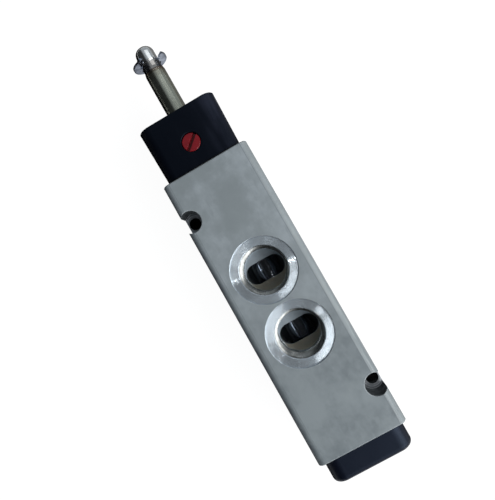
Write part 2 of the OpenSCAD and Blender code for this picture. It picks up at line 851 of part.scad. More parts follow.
module seat_nozzle() {
    shank_r = nozzle_d / 2 - press_gap;
    tip_r = nozzle_tip_d / 2;
    orifice_r = orifice_d / 2;
    tip_land = 0.4;
    color("#b89b5e")
        lathe_x([[nozzle_x, orifice_r], [nozzle_x, shank_r], [seal_seat_x, shank_r],
                 [nozzle_tip_x - tip_land, tip_r], [nozzle_tip_x, tip_r],
                 [nozzle_tip_x, orifice_r]]);
}

// Balls pressed into the cross passages where these were drilled in from the side
module passage_plugs() {
    color("#b9bcc0") {
        plug_ball(nozzle_feed_x, plug_point([0, axis_z], supply_at));
        plug_ball(ovr_x, plug_point([0, bypass_z], supply_at));
    }
}

module plug_ball(x, at) {
    translate([x, at[0], at[1]])
        sphere(r = plug_r);
}

module core_tube() {
    color("#8d8c80")
        lathe_x([[flange_x, tube_bore_r], [flange_x, flange_d / 2], [nut_x, flange_d / 2],
                 [nut_x, tube_r], [tube_end, tube_r], [tube_end, tube_bore_r]]);
}

module tube_seal() {
    color("#181818")
        ring_seal_x(flange_x - seal_gap - tube_seal_d / 2,
                    chamber_wall_r - seal_gap - tube_seal_d / 2, tube_seal_d / 2);
}

module tube_nut() {
    spanner_r = 1.2;
    spanner_at = (tube_r + nut_d / 2) / 2;
    color("#b89b5e")
        difference() {
            lathe_x([[nut_x, 0], [nut_x, nut_d / 2], [head_end - rim_chamfer, nut_d / 2],
                     [head_end, nut_d / 2 - rim_chamfer], [head_end, 0]]);
            round_x(nut_x - over, head_end + over, tube_r + flange_gap);
            for (side = [-1, 1])
                round_x(head_end - nut_t / 2, head_end + over, spanner_r, side * spanner_at);
        }
}

module fixed_core() {
    inner_r = tube_bore_r - press_gap;
    exhaust_r = exhaust_d / 2;
    seat_wall = 0.6;
    seat_r = exhaust_r + seat_wall;
    shaft_x = tube_end + core_cone_l;
    groove_x = tube_end + core_groove_x;
    dome_x = core_end - core_dome_r;
    color("#9a948a")
        difference() {
            union() {
                lathe_x([[pole_x - exhaust_seat_h, 0], [pole_x - exhaust_seat_h, seat_r],
                         [pole_x, seat_r], [pole_x, inner_r], [tube_end, inner_r],
                         [tube_end, tube_r], [shaft_x, core_neck_r], [dome_x, core_neck_r],
                         [dome_x, 0]]);
                translate([dome_x, 0, axis_z])
                    rotate([0, 90, 0])
                        rotate_extrude()
                            dome_profile();
            }
            round_x(pole_x - over, core_end + over, exhaust_r);
            difference() {
                round_x(groove_x, groove_x + core_groove_w, core_neck_r + over);
                round_x(groove_x - over, groove_x + core_groove_w + over, core_groove_d / 2);
            }
        }
}

// Half section of the fixed core's rounded end
module dome_profile() {
    flat_r = core_neck_r - core_dome_r;
    intersection() {
        union() {
            square([flat_r, core_dome_r]);
            translate([flat_r, 0])
                circle(r = core_dome_r);
        }
        square([core_neck_r, core_dome_r]);
    }
}

module plunger() {
    disc_r = plunger_seal_d / 2 + press_gap;
    disc_depth = plunger_seal_t - seal_proud;
    slot = 1;
    chamfer = 0.3;
    color("#9aa0a4")
        difference() {
            lathe_x([[plunger_x, 0], [plunger_x, plunger_r - chamfer],
                     [plunger_x + chamfer, plunger_r],
                     [shoulder_x, plunger_r], [shoulder_x, plunger_neck_d / 2],
                     [plunger_top, plunger_neck_d / 2], [plunger_top, 0]]);
            round_x(plunger_x - over, plunger_x + disc_depth, disc_r);
            round_x(plunger_top - disc_depth, plunger_top + over, disc_r);
            for (side = [-1, 1])
                translate([plunger_x - over, side * plunger_r - slot / 2, axis_z - slot / 2])
                    cube([shoulder_x - plunger_x + 2 * over, slot, slot]);
        }
}

module plunger_seals() {
    disc_r = plunger_seal_d / 2;
    color("#7a2f22") {
        round_x(nozzle_tip_x, nozzle_tip_x + plunger_seal_t, disc_r);
        round_x(plunger_top + seal_proud - plunger_seal_t, plunger_top + seal_proud, disc_r);
    }
}

module plunger_spring() {
    color("#a9adb0")
        translate([shoulder_x, 0, axis_z])
            rotate([0, 90, 0])
                coil_spring(plunger_coil_r, plunger_wire_d, pole_x - shoulder_x, plunger_turns,
                            6, 12);
}

// Outline of the clip across the core: a disc with prongs, an open mouth and one lobed arm
module clip_outline() {
    difference() {
        union() {
            difference() {
                union() {
                    intersection() {
                        translate(clip_centre)
                            circle(r = clip_r);
                        translate([clip_step_y - 2 * clip_r, -clip_r])
                            square([2 * clip_r, 2 * clip_r + over]);
                    }
                    translate(clip_arm_at)
                        circle(r = clip_arm_r);
                }
                circle(r = clip_relief_r);
                polygon(clip_mouth);
            }
            for (a = clip_prongs)
                rotate(a)
                    translate([0, -clip_prong_w / 2])
                        square([clip_relief_r + over / 2, clip_prong_w]);
            translate(clip_lobe_at)
                circle(r = clip_lobe_r);
        }
        circle(r = clip_fit_r);
        translate(clip_lobe_at)
            circle(r = clip_eye_r);
    }
}

module retaining_clip() {
    color("#9aa3ad")
        plate_x(clip_x, clip_t)
            clip_outline();
}

module override_spindle() {
    head_r = override_d / 2;
    reach = pin_half_angle + override_turn;
    color("#a8242a")
        translate([ovr_x, 0, 0])
            difference() {
                union() {
                    translate([0, 0, ovr_foot_z])
                        cylinder(h = ovr_top_z - ovr_foot_z - rim_chamfer, r = head_r);
                    translate([0, 0, ovr_top_z - rim_chamfer])
                        cylinder(h = rim_chamfer, r1 = head_r, r2 = head_r - rim_chamfer);
                    translate([0, 0, spindle_end_z])
                        cylinder(h = ovr_foot_z - spindle_end_z + over, r = spindle_r);
                }
                translate([0, 0, ovr_top_z])
                    rotate([0, 0, override_slot_angle])
                        cube([2 * override_d, override_slot_w, 2 * override_slot_depth],
                             center = true);
                translate([0, 0, pin_z - pin_groove_w / 2])
                    rotate([0, 0, 90 - reach])
                        rotate_extrude(angle = reach + pin_half_angle)
                            translate([pin_groove_r, 0])
                                square([pin_groove_depth + over, pin_groove_w]);
                translate([0, 0, spindle_seal_z])
                    spindle_groove();
                rotate([0, 0, 135])
                    translate([bypass_flat, -override_d, bypass_z - bypass_w / 2])
                        cube([override_d, 2 * override_d, bypass_w]);
            }
}

// Groove for the spindle's seal
module spindle_groove() {
    w = spindle_seal_d + 2 * seal_gap;
    translate([0, 0, -w / 2])
        difference() {
            cylinder(h = w, r = spindle_bore_d / 2 + over);
            translate([0, 0, -over])
                cylinder(h = w + 2 * over, r = spindle_groove_r);
        }
}

module override_seal() {
    color("#181818")
        translate([ovr_x, 0, spindle_seal_z])
            ring_seal(spindle_groove_r + seal_gap + spindle_seal_d / 2, spindle_seal_d / 2);
}

module override_pin() {
    color("#b9bcc0")
        round_x(head_x + rest_gap, head_x + rest_gap + pin_l, pin_d / 2, pin_y, pin_z);
}

valve_body();
spool();
spool_seals();
pilot_piston();
piston_seal();
return_spring();
spring_seat();
end_cap();
cap_gasket();
cap_screws();
pilot_head();
head_gasket();
head_screws();
seat_nozzle();
passage_plugs();
core_tube();
tube_seal();
tube_nut();
fixed_core();
plunger();
plunger_seals();
plunger_spring();
retaining_clip();
override_spindle();
override_seal();
override_pin();
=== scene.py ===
"""A five-port pilot valve with its coil off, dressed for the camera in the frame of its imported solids.

The sizes of the valve's parts are millimetres, which MM turns into the scene's metres. Those of
the studio are metres. X runs along the spool towards the pilot head, and Z points out of the front
face with the two work ports.
"""

import json
import logging
import math
from dataclasses import dataclass, field
from enum import Enum

import bpy
from mathutils import Matrix, Vector

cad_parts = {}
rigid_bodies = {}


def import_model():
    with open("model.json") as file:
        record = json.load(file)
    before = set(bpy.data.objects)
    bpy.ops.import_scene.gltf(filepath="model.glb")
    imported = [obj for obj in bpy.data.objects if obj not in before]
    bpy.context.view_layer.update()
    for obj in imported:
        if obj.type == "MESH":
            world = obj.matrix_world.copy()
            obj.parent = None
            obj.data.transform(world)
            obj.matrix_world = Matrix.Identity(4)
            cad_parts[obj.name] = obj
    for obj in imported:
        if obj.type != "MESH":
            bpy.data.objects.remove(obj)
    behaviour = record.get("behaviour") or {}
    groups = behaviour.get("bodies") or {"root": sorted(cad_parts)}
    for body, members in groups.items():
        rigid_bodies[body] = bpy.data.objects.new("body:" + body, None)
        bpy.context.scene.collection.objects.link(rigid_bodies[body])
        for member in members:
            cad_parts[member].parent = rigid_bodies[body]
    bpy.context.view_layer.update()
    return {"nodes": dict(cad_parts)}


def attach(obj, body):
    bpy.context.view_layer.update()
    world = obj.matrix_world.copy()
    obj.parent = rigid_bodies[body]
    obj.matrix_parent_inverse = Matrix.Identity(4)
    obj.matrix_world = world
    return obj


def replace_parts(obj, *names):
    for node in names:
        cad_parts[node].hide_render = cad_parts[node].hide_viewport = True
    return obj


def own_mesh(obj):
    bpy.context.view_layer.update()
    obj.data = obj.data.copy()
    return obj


LOG = logging.getLogger("pilot_valve")
MM = 0.001
AXIS_MM = 25
HOUSING = "housing"
Point = tuple[float, float, float]
Colour = tuple[float, float, float]
Pair = tuple[float, float]
Profile = list[Pair]
Mesh = tuple[list[Point], list[tuple[int, ...]]]
Material = bpy.types.Material
Node = bpy.types.Node
NodeSocket = bpy.types.NodeSocket
NodeTree = bpy.types.NodeTree
Object = bpy.types.Object


def srgb(*channels: int) -> Colour:
    """Turns an 8-bit display colour's red, green and blue into a shader's linear colour."""
    parts = [value / 255 for value in channels]
    return tuple(p / 12.92 if p <= 0.04045 else ((p + 0.055) / 1.055) ** 2.4 for p in parts)


class Face(Enum):
    """The two faces that hold ports, each with its height."""

    FRONT = 2 * AXIS_MM
    BACK = 0


@dataclass
class Graph:
    """A thin layer over a node tree that keeps each shader short.

    Attributes:
        tree: The tree that the nodes go into.
    """

    tree: NodeTree

    def add(self, kind: str, *values: object, **settings: object) -> Node:
        """Adds a node.

        Args:
            kind: Blender's name of the node type, without its ShaderNode part.
            values: What goes into its first inputs, in order.
            settings: Properties to set on the node.

        Returns:
            The node.
        """
        node = self.tree.nodes.new("ShaderNode" + kind)
        for name, value in settings.items():
            setattr(node, name, value)
        for socket, value in zip(node.inputs, values):
            self.feed(socket, value)
        return node

    def feed(self, socket: NodeSocket, value: object) -> None:
        """Links an output to a socket, or sets the socket's own value.

        Args:
            socket: The input.
            value: An output socket, a number, a colour or a vector.
        """
        if isinstance(value, NodeSocket):
            self.tree.links.new(value, socket)
        elif isinstance(value, tuple) and len(value) == 3 and len(socket.default_value) == 4:
            socket.default_value = (*value, 1)
        else:
            socket.default_value = value

    def fill(self, node: Node, values: dict[str, object]) -> Node:
        """Feeds a node's inputs by name.

        Args:
            node: The node.
            values: What goes into each input.

        Returns:
            The node.
        """
        for label, value in values.items():
            self.feed(node.inputs[label], value)
        return node

    def shader(self) -> Node:
        """The material's own shader."""
        return self.tree.nodes["Principled BSDF"]

    def group(self, tree: NodeTree, **values: object) -> Node:
        """Places a shared effect and feeds its inputs by name."""
        return self.fill(self.add("Group", node_tree=tree), values)

    def math(self, operation: str, *values: object) -> NodeSocket:
        """The result of a Math node on values that are outputs or numbers."""
        return self.add("Math", *values, operation=operation).outputs[0]

    def away(self, value: object, middle: float) -> NodeSocket:
        """How far a value is from a middle, either way."""
        return self.math("ABSOLUTE", self.math("SUBTRACT", value, middle))

    def radius(self, x: object, y: object) -> NodeSocket:
        """The length of a flat vector."""
        return self.math("SQRT", self.math("ADD", self.math("MULTIPLY", x, x),
                                           self.math("MULTIPLY", y, y)))

    def spread(self, value: object, low: float, high: float, start: float = 0,
               end: float = 1) -> NodeSocket:
        """Eases a value that runs from low to high over to one that runs from start to end."""
        return self.add("MapRange", value, low, high, start, end,
                        interpolation_type="SMOOTHSTEP").outputs[0]

    def band(self, value: object, ends_mm: Pair, start: float = 0, end: float = 1) -> NodeSocket:
        """The same as spread, between two ends in millimetres."""
        return self.spread(value, ends_mm[0] * MM, ends_mm[1] * MM, start, end)

    def vector(self, *values: object) -> NodeSocket:
        """A vector of up to three values."""
        return self.add("CombineXYZ", *values).outputs[0]

    def stretch(self, where: object, scale: Point) -> NodeSocket:
        """Coordinates times a scale for each axis."""
        return self.fill(self.add("Mapping"), {"Vector": where, "Scale": scale}).outputs[0]

    def noise(self, where: object, scale: object, detail: float = 2,
              roughness: float = 0.5) -> NodeSocket:
        """Noise from 0 to 1 with scale features per metre, and finer octaves that add detail."""
        return self.fill(self.add("TexNoise"), {
            "Vector": where, "Scale": scale, "Detail": detail,
            "Roughness": roughness}).outputs["Fac"]

    def mix(self, share: object, first: object, second: object) -> NodeSocket:
        """Mixes two colours.

        Args:
            share: How much of the second there is.
            first: The first colour.
            second: The second colour.

        Returns:
            The mixed colour.
        """
        node = self.add("Mix", share, data_type="RGBA")
        self.feed(node.inputs[6], first)
        self.feed(node.inputs[7], second)
        return node.outputs[2]

    def blend(self, first: NodeSocket, second: NodeSocket, share: float) -> NodeSocket:
        """The sum of a share of one value and the rest of another."""
        return self.math("ADD", self.math("MULTIPLY", first, share),
                         self.math("MULTIPLY", second, 1 - share))

    def axes(self) -> tuple[NodeSocket, list[NodeSocket]]:
        """The place on the object, whole and as its X, Y and Z."""
        where = self.add("TexCoord").outputs["Object"]
        return where, list(self.add("SeparateXYZ", where).outputs)


def effect(name: str, inputs: dict[str, float], **outputs: str) -> tuple[Graph, Node, Node]:
    """Starts a shader node group that several materials share.

    Args:
        name: The group's name.
        inputs: Its number inputs, each with its default.
        outputs: Its outputs, each with the kind of its socket.

    Returns:
        The group's graph, its input node and its output node.
    """
    tree = bpy.data.node_groups.new(name, "ShaderNodeTree")
    for label, value in inputs.items():
        socket = tree.interface.new_socket(label, in_out="INPUT", socket_type="NodeSocketFloat")
        socket.default_value = value
    for label, kind in outputs.items():
        tree.interface.new_socket(label, in_out="OUTPUT", socket_type="NodeSocket" + kind)
    return Graph(tree), tree.nodes.new("NodeGroupInput"), tree.nodes.new("NodeGroupOutput")


class Effects:
    """The shader node groups that more than one material uses, each made once."""

    def __init__(self) -> None:
        """Builds the groups."""
        self.grain, self.wear = self.make_grain(), self.make_wear()
        self.lathe, self.smudge = self.make_lathe(), self.make_smudge()

    def make_grain(self) -> NodeTree:
        """Fine pits of a blasted or moulded skin, with the soft blotches between them.

        Returns:
            The group, which gives a height and a blotch mask.
        """
        graph, entry, leave = effect("skin_grain", {"Pits": 5000.0, "Blotches": 90.0},
                                     Height="Float", Blotch="Float")
        where = graph.axes()[0]
        pits = graph.noise(where, entry.outputs["Pits"], 3, 0.65)
        broad = graph.noise(where, graph.math("MULTIPLY", entry.outputs["Pits"], 0.23))
        blotch = graph.noise(where, entry.outputs["Blotches"], 4, 0.55)
        graph.fill(leave, {"Height": graph.blend(pits, broad, 0.6),
                           "Blotch": graph.spread(blotch, 0.3, 0.7)})
        return graph.tree

    def make_wear(self) -> NodeTree:
        """Rounded-over edges: a normal that is soft at each edge and a mask of where edges are.

        Returns:
            The group, which gives the normal and the edge mask.
        """
        graph, entry, leave = effect("worn_edges", {"Radius": 0.2 * MM, "Amount": 1.0},
                                     Normal="Vector", Edge="Float")
        soft = graph.add("Bevel", entry.outputs["Radius"], samples=6).outputs[0]
        plain = graph.add("NewGeometry").outputs["Normal"]
        turn = graph.add("VectorMath", soft, plain, operation="DOT_PRODUCT").outputs["Value"]
        broken = graph.spread(graph.noise(graph.axes()[0], 1600, 3), 0.25, 0.6, 0.35, 1)
        edge = graph.math("MULTIPLY", graph.spread(turn, 0.995, 0.86), broken)
        graph.fill(leave, {"Normal": soft,
                           "Edge": graph.math("MULTIPLY", edge, entry.outputs["Amount"])})
        return graph.tree

    def make_lathe(self) -> NodeTree:
        """The fine lines that a turning tool or a die leaves, uneven in depth.

        Returns:
            The group, which gives a height and a mask of the deeper lines.
        """
        graph, entry, leave = effect("tool_lines", {"Along": 0.0, "Lines": 6000.0},
                                     Height="Float", Line="Float")
        place, lines = graph.vector(entry.outputs["Along"]), entry.outputs["Lines"]
        fine = graph.noise(place, lines, 2, 0.7)
        wide = graph.noise(place, graph.math("MULTIPLY", lines, 0.21), 1)
        graph.fill(leave, {"Height": graph.blend(fine, wide, 0.65),
                           "Line": graph.spread(fine, 0.58, 0.74)})
        return graph.tree

    def make_smudge(self) -> NodeTree:
        """Faint handling marks and oil film.

        Returns:
            The group, which gives their mask.
        """
        graph, entry, leave = effect("handling_film", {"Size": 60.0, "Streak": 3.0}, Film="Float")
        x, y, z = graph.axes()[1]
        place = graph.vector(x, graph.math("MULTIPLY", y, entry.outputs["Streak"]), z)
        film = graph.noise(place, entry.outputs["Size"], 5, 0.6)
        graph.feed(leave.inputs["Film"], graph.spread(film, 0.42, 0.68))
        return graph.tree


@dataclass(frozen=True)
class Finish:
    """One finish: the constant values of its shader and the colours that it varies between.

    Attributes:
        name: The material's name.
        base: Main colour.
        shade: Colour of its blotches.
        edge: Colour of its worn edges.
        metallic: Share of metal.
        rough: Roughness where it is clean.
        film: Extra roughness where it has been handled.
        specular: Specular level.
        tint_of_gloss: Colour of its gloss, unless it is metal.
        grip: Anisotropy of turned surfaces, whose tool lines run round Z.
        pits: Pits per metre in its skin.
        blotches: Blotches per metre.
        relief_mm: Depth of its pits or tool lines.
        edge_mm: Radius of its softened edges.
        wear: How much its edges are worn.
        mottle: How strong its blotches are.
    """

    name: str
    base: Colour
    shade: Colour
    edge: Colour
    metallic: float = 0.0
    rough: float = 0.5
    film: float = 0.08
    specular: float = 0.5
    tint_of_gloss: Colour = (1, 1, 1)
    grip: float = 0.0
    pits: float = 5000.0
    blotches: float = 90.0
    relief_mm: float = 0.01
    edge_mm: float = 0.15
    wear: float = 0.5
    mottle: float = 0.6

    def pattern(self, graph: Graph, effects: Effects) -> tuple[object, object]:
        """The colour under its blotches, and a height to use in place of the pits, or None."""
        return self.base, None

    def build(self, effects: Effects) -> Material:
        """Builds the finish: its pattern, with blotches, films, worn edges and relief on it.

        Args:
            effects: The shared effects.

        Returns:
            The material.
        """
        material = bpy.data.materials.new(self.name)
        material.use_nodes = True
        graph = Graph(material.node_tree)
        shader = graph.shader()
        graph.fill(shader, {"Metallic": self.metallic, "Roughness": self.rough,
                            "Specular IOR Level": self.specular,
                            "Specular Tint": self.tint_of_gloss, "Anisotropic": self.grip,
                            "Anisotropic Rotation": 0.25})
        base, height = self.pattern(graph, effects)
        grain = graph.group(effects.grain, Pits=self.pits, Blotches=self.blotches)
        film = graph.group(effects.smudge)
        worn = graph.group(effects.wear, Radius=self.edge_mm * MM, Amount=self.wear)
        blotch = graph.math("MULTIPLY", grain.outputs["Blotch"], self.mottle)
        colour = graph.mix(worn.outputs["Edge"], graph.mix(blotch, base, self.shade), self.edge)
        rough = graph.math("MULTIPLY_ADD", film.outputs["Film"], self.film, self.rough)
        bump = graph.fill(graph.add("Bump"), {
            "Strength": 1, "Distance": self.relief_mm * MM, "Normal": worn.outputs["Normal"],
            "Height": grain.outputs["Height"] if height is None else height})
        graph.fill(shader, {"Base Color": colour, "Roughness": rough, "Normal": bump.outputs[0]})
        return material


@dataclass(frozen=True)
class CastFinish(Finish):
    """Blasted casting: soft clouds, streaky edges beside milled faces, and drilled holes.

    Painted shade darkens it towards -X, on its front corner towards +Y and on the walls of its
    holes; painted light makes its edge towards -Y paler.

    Attributes:
        cloud: Colour of its clouds.
        painted_shade_cloud: Colour of its clouds in the painted shade towards -X, where the base
            turns to the blotch colour.
        painted_shade_x_mm: Where along X that painted shade starts and where it is full.
        strip: Colour of the painted light, in streaks, on the cast edge towards -Y.
        painted_shade_corner: Colour of the painted shade on the front corner towards +Y.
        painted_shade_corner_y_mm: Where across the body that painted shade starts and where it is
            full.
        painted_shade_corner_z_mm: The same for its height.
        line: Colour of the line where the milled face ends.
        milled_mm: Half the width of the milled faces.
        drilled: Colour of the walls of the drilled holes, a painted shade.
        ledge: Colour of the ledge that a screw's head seats on.
        ledge_mm: Height of that ledge.
        holes_mm: Place of each drilled hole along and across the body, and its radius.
    """

    cloud: Colour = (0.3, 0.3, 0.3)
    painted_shade_cloud: Colour = (0.2, 0.2, 0.2)
    painted_shade_x_mm: Pair = (42, -40)
    strip: Colour = (0.4, 0.4, 0.4)
    painted_shade_corner: Colour = (0.1, 0.1, 0.1)
    painted_shade_corner_y_mm: Pair = (17.0, 20.25)
    painted_shade_corner_z_mm: Pair = (44, 48)
    line: Colour = (0.1, 0.1, 0.1)
    milled_mm: float = 17.3
    drilled: Colour = (0.05, 0.05, 0.05)
    ledge: Colour = (0.3, 0.3, 0.3)
    ledge_mm: float = 38.0
    holes_mm: tuple[Point, ...] = ()

    def drill(self, graph: Graph, base: object, place: list[NodeSocket]) -> NodeSocket:
        """Colours the drilled holes: walls in painted shade, and a ledge with the rings of the cutter.

        Args:
            graph: The material's graph.
            base: The colour outside the holes.
            place: Place along the body, across it and up.

        Returns:
            The colour.
        """
        x, y, z = place
        mask: object = 0.0
        near: object = 1.0
        for at_x, at_y, radius in self.holes_mm:
            away = graph.radius(graph.math("SUBTRACT", x, at_x * MM),
                                graph.math("SUBTRACT", y, at_y * MM))
            mask = graph.math("MAXIMUM", mask, graph.band(away, (radius + 0.15, radius + 0.05)))
            near = graph.math("MINIMUM", near, away)
        mask = graph.math("MULTIPLY", mask, graph.band(z, (49.95, 49.6)))
        rings = graph.spread(graph.noise(graph.vector(near), 1500, 1), 0.42, 0.58, 0.35, 1)
        ledge = graph.band(graph.away(z, self.ledge_mm * MM), (0.3, 0.1))
        # The hole walls take a dark colour, which is painted shade; the ledge keeps its own colour.
        inside = graph.mix(graph.math("MULTIPLY", ledge, rings), self.drilled, self.ledge)
        return graph.mix(mask, base, inside)

    def pattern(self, graph: Graph, effects: Effects) -> tuple[object, object]:
        """The casting's clouds, painted shade, painted light, lines and holes.

        Args:
            graph: The material's graph.
            effects: The shared effects, which are not used here.

        Returns:
            The colour, and None for the height.
        """
        where, place = graph.axes()
        x, y, z = place
        clouds = graph.spread(graph.noise(where, 55, 4, 0.6), 0.36, 0.64)
        streak = graph.noise(graph.stretch(where, (1, 2.2, 1.4)), 210, 3)
        # Painted shade: the base and the clouds darken towards -X.
        painted_shade_along_x = graph.band(x, self.painted_shade_x_mm)
        base = graph.mix(clouds, graph.mix(painted_shade_along_x, self.base, self.shade),
                         graph.mix(painted_shade_along_x, self.cloud, self.painted_shade_cloud))
        base = graph.mix(graph.spread(streak, 0.5, 0.72, 0, 0.55), base, self.shade)
        out = graph.math("ABSOLUTE", y)
        # Painted light: the cast edge towards -Y, which faces the light, is paler, in streaks.
        streaks = graph.noise(graph.stretch(where, (0.06, 1, 1)), 1500, 3)
        edge = graph.band(out, (self.milled_mm, self.milled_mm + 0.3))
        painted_light = graph.math("MULTIPLY", edge, graph.band(y, (1, -1)))
        painted_light = graph.math("MULTIPLY", painted_light, graph.spread(streaks, 0.4, 0.62, 0.35, 1))
        base = graph.mix(painted_light, base, self.strip)
        # Painted shade on the front corner towards +Y, which turns away from the light.
        corner = graph.math("MULTIPLY", graph.band(y, self.painted_shade_corner_y_mm),
                            graph.band(z, self.painted_shade_corner_z_mm))
        base = graph.mix(corner, base, self.painted_shade_corner)
        off = graph.away(out, (self.milled_mm - 0.1) * MM)
        base = graph.mix(graph.band(off, (0.22, 0.04), 0, 0.55), base, self.line)
        return self.drill(graph, base, place), None


@dataclass(frozen=True)
class MouldedFinish(Finish):
    """Moulded plastic with a painted sheen towards -Y, in streaks along X.

    Attributes:
        painted_light: Colour of the painted sheen towards -Y.
        painted_light_mm: Where along Y the painted sheen starts and where it is full.
    """

    painted_light: Colour = (0.02, 0.02, 0.02)
    painted_light_mm: Pair = (-3.0, -15.0)

    def pattern(self, graph: Graph, effects: Effects) -> tuple[object, object]:
        """The plastic's painted sheen towards -Y, in streaks along X.

        Args:
            graph: The material's graph.
            effects: The shared effects, which are not used here.

        Returns:
            The colour, and None for the height.
        """
        where, (_, y, _) = graph.axes()
        # Painted sheen towards -Y, broken into streaks along X.
        sheen_streaks = graph.noise(graph.stretch(where, (0.12, 1, 1)), 260, 3)
        share = graph.math("MULTIPLY", graph.band(y, self.painted_light_mm),
                           graph.spread(sheen_streaks, 0.38, 0.66, 0.25, 1))
        return graph.mix(share, self.base, self.painted_light), None


@dataclass(frozen=True)
class TurnedFinish(Finish):
    """Turned metal whose tool lines run round the object's own Z, or along X.

    Attributes:
        lines: Tool lines per metre.
        along_x: True if the axis that it was turned about is X.
        tint: Colour of its bands: heat tint at joints, and painted shade on parts that lie in shade.
        tints_mm: Middle of each band along X, its half width and its strength.
    """

    lines: float = 6000.0
    along_x: bool = False
    tint: Colour = (0.3, 0.22, 0.15)
    tints_mm: tuple[Point, ...] = ()

    def pattern(self, graph: Graph, effects: Effects) -> tuple[object, object]:
        """The metal's tool lines and bands.

        Args:
            graph: The material's graph.
            effects: The shared effects.

        Returns:
            The colour and the height.
        """
        x, y, z = graph.axes()[1]
        along = x
        if not self.along_x:
            along = graph.math("ADD", graph.radius(x, y), z)
            axis = graph.add("Tangent", direction_type="RADIAL", axis="Z")
            graph.feed(graph.shader().inputs["Tangent"], axis.outputs[0])
        cut = graph.group(effects.lathe, Along=along, Lines=self.lines)
        base = graph.mix(graph.math("MULTIPLY", cut.outputs["Line"], 0.5), self.base, self.shade)
        # Bands along X: heat tint at joints, and painted shade where a finish lists one.
        for middle, width, share in self.tints_mm:
            band = graph.band(graph.away(x, middle * MM), (width, 0.25 * width), 0, share)
            base = graph.mix(band, base, self.tint)
        return base, cut.outputs["Height"]


# Painted light and shade in this finish: it darkens towards -X, on the front corner towards +Y and on
# the walls of the holes, and its edge towards -Y is paler.
CAST = CastFinish(
    "blasted_casting", srgb(152, 160, 165), srgb(131, 139, 142), srgb(222, 227, 230), metallic=0.15,
    rough=0.5, specular=0.4, pits=4200, blotches=160, relief_mm=0.02, edge_mm=0.25, wear=0.9,
    cloud=srgb(128, 136, 139), painted_shade_cloud=srgb(108, 116, 120), strip=srgb(143, 149, 150),
    painted_shade_corner=srgb(78, 84, 90), line=srgb(92, 98, 102), drilled=srgb(24, 26, 31),
    ledge=srgb(222, 225, 231), holes_mm=((47.75, 16.95, 4.8), (-47.75, -16.95, 4.8)))
PORT_METAL = TurnedFinish(
    "turned_port_metal", srgb(212, 222, 229), srgb(168, 177, 184), srgb(240, 243, 245),
    metallic=0.78, rough=0.2, film=0.02, grip=1, blotches=220, relief_mm=0.01, edge_mm=0.06,
    wear=0.5, lines=6500, mottle=0.25)
# The tint band over the -X half of the floor is painted shade: a warm tone where the bore shades the
# floor.
FLOOR_METAL = TurnedFinish(
    "turned_floor_metal", srgb(190, 202, 210), srgb(150, 158, 164), srgb(230, 233, 235),
    metallic=0.5, rough=0.34, film=0.05, grip=0.6, blotches=220, relief_mm=0.006, edge_mm=0.06,
    wear=0.4, lines=6500, mottle=0.3, tint=srgb(196, 186, 160), tints_mm=((-8.0, 9.0, 0.9),))
THREAD_METAL = TurnedFinish(
    "cut_thread_metal", srgb(160, 162, 160), srgb(96, 96, 92), srgb(220, 222, 222), metallic=1,
    rough=0.26, grip=0.3, blotches=400, relief_mm=0.004, edge_mm=0.05, wear=0.4, lines=9000)
SPOOL_BLACK = TurnedFinish(
    "polished_dark_spool", srgb(172, 179, 192), srgb(144, 150, 164), srgb(176, 180, 190),
    metallic=1, rough=0.12, film=0.03, lines=5000, relief_mm=0.001, edge_mm=0.08, wear=0.2,
    along_x=True, mottle=0.3)
RUBBER = Finish(
    "black_rubber_seal", srgb(20, 20, 20), srgb(30, 30, 30), srgb(40, 40, 40), rough=0.55,
    specular=0.35, pits=3500, relief_mm=0.01, wear=0.2)
SEAL_RED = Finish(
    "brown_rubber_disc", srgb(120, 52, 40), srgb(96, 42, 34), srgb(140, 70, 56), rough=0.6,
    specular=0.3, pits=3500, relief_mm=0.01, wear=0.2)
ACETAL = Finish(
    "natural_acetal", srgb(226, 222, 208), srgb(212, 207, 190), srgb(238, 235, 224), rough=0.38,
    pits=2500, relief_mm=0.006, wear=0.3)
NYLON = Finish(
    "black_moulded_nylon", srgb(8, 11, 22), srgb(11, 14, 26), srgb(30, 34, 46), rough=0.42,
    film=0.1, specular=0.24, tint_of_gloss=(0.55, 0.72, 1), pits=3600, blotches=70, relief_mm=0.01,
    edge_mm=0.3, wear=0.35)
# The head's plastic has a painted sheen on its side towards -Y.
HEAD_NYLON = MouldedFinish(
    "black_head_nylon", srgb(3, 5, 12), srgb(5, 7, 14), srgb(30, 34, 46), rough=0.42, film=0.1,
    specular=0.17, tint_of_gloss=(0.6, 0.75, 1), pits=3600, blotches=70, relief_mm=0.01,
    edge_mm=0.3, wear=0.3, painted_light=srgb(32, 35, 46))
GASKET = Finish(
    "gasket_sheet", srgb(38, 32, 29), srgb(52, 44, 38), srgb(60, 52, 46), rough=0.8, specular=0.2,
    pits=2200, relief_mm=0.03, wear=0.2)
SCREW_ZINC = Finish(
    "zinc_plated_screw", srgb(168, 172, 178), srgb(128, 132, 138), srgb(214, 217, 222), metallic=1,
    rough=0.3, pits=6000, relief_mm=0.004, edge_mm=0.12, wear=0.6)
WIRE = Finish(
    "drawn_spring_wire", srgb(176, 178, 180), srgb(130, 132, 134), srgb(214, 216, 218), metallic=1,
    rough=0.26, pits=7000, relief_mm=0.003, wear=0.2)
BRASS = TurnedFinish(
    "turned_brass", srgb(206, 176, 108), srgb(160, 130, 74), srgb(232, 208, 150), metallic=1,
    rough=0.28, relief_mm=0.003, edge_mm=0.1, lines=5000, along_x=True)
TUBE_STEEL = TurnedFinish(
    "drawn_tube_steel", srgb(178, 181, 168), srgb(156, 157, 144), srgb(206, 207, 202), metallic=1,
    rough=0.24, relief_mm=0.0015, edge_mm=0.1, wear=0.4, lines=3800, along_x=True,
    tint=srgb(98, 78, 58), tints_mm=((121.7, 1.2, 0.9), (120.6, 3.4, 0.35)))
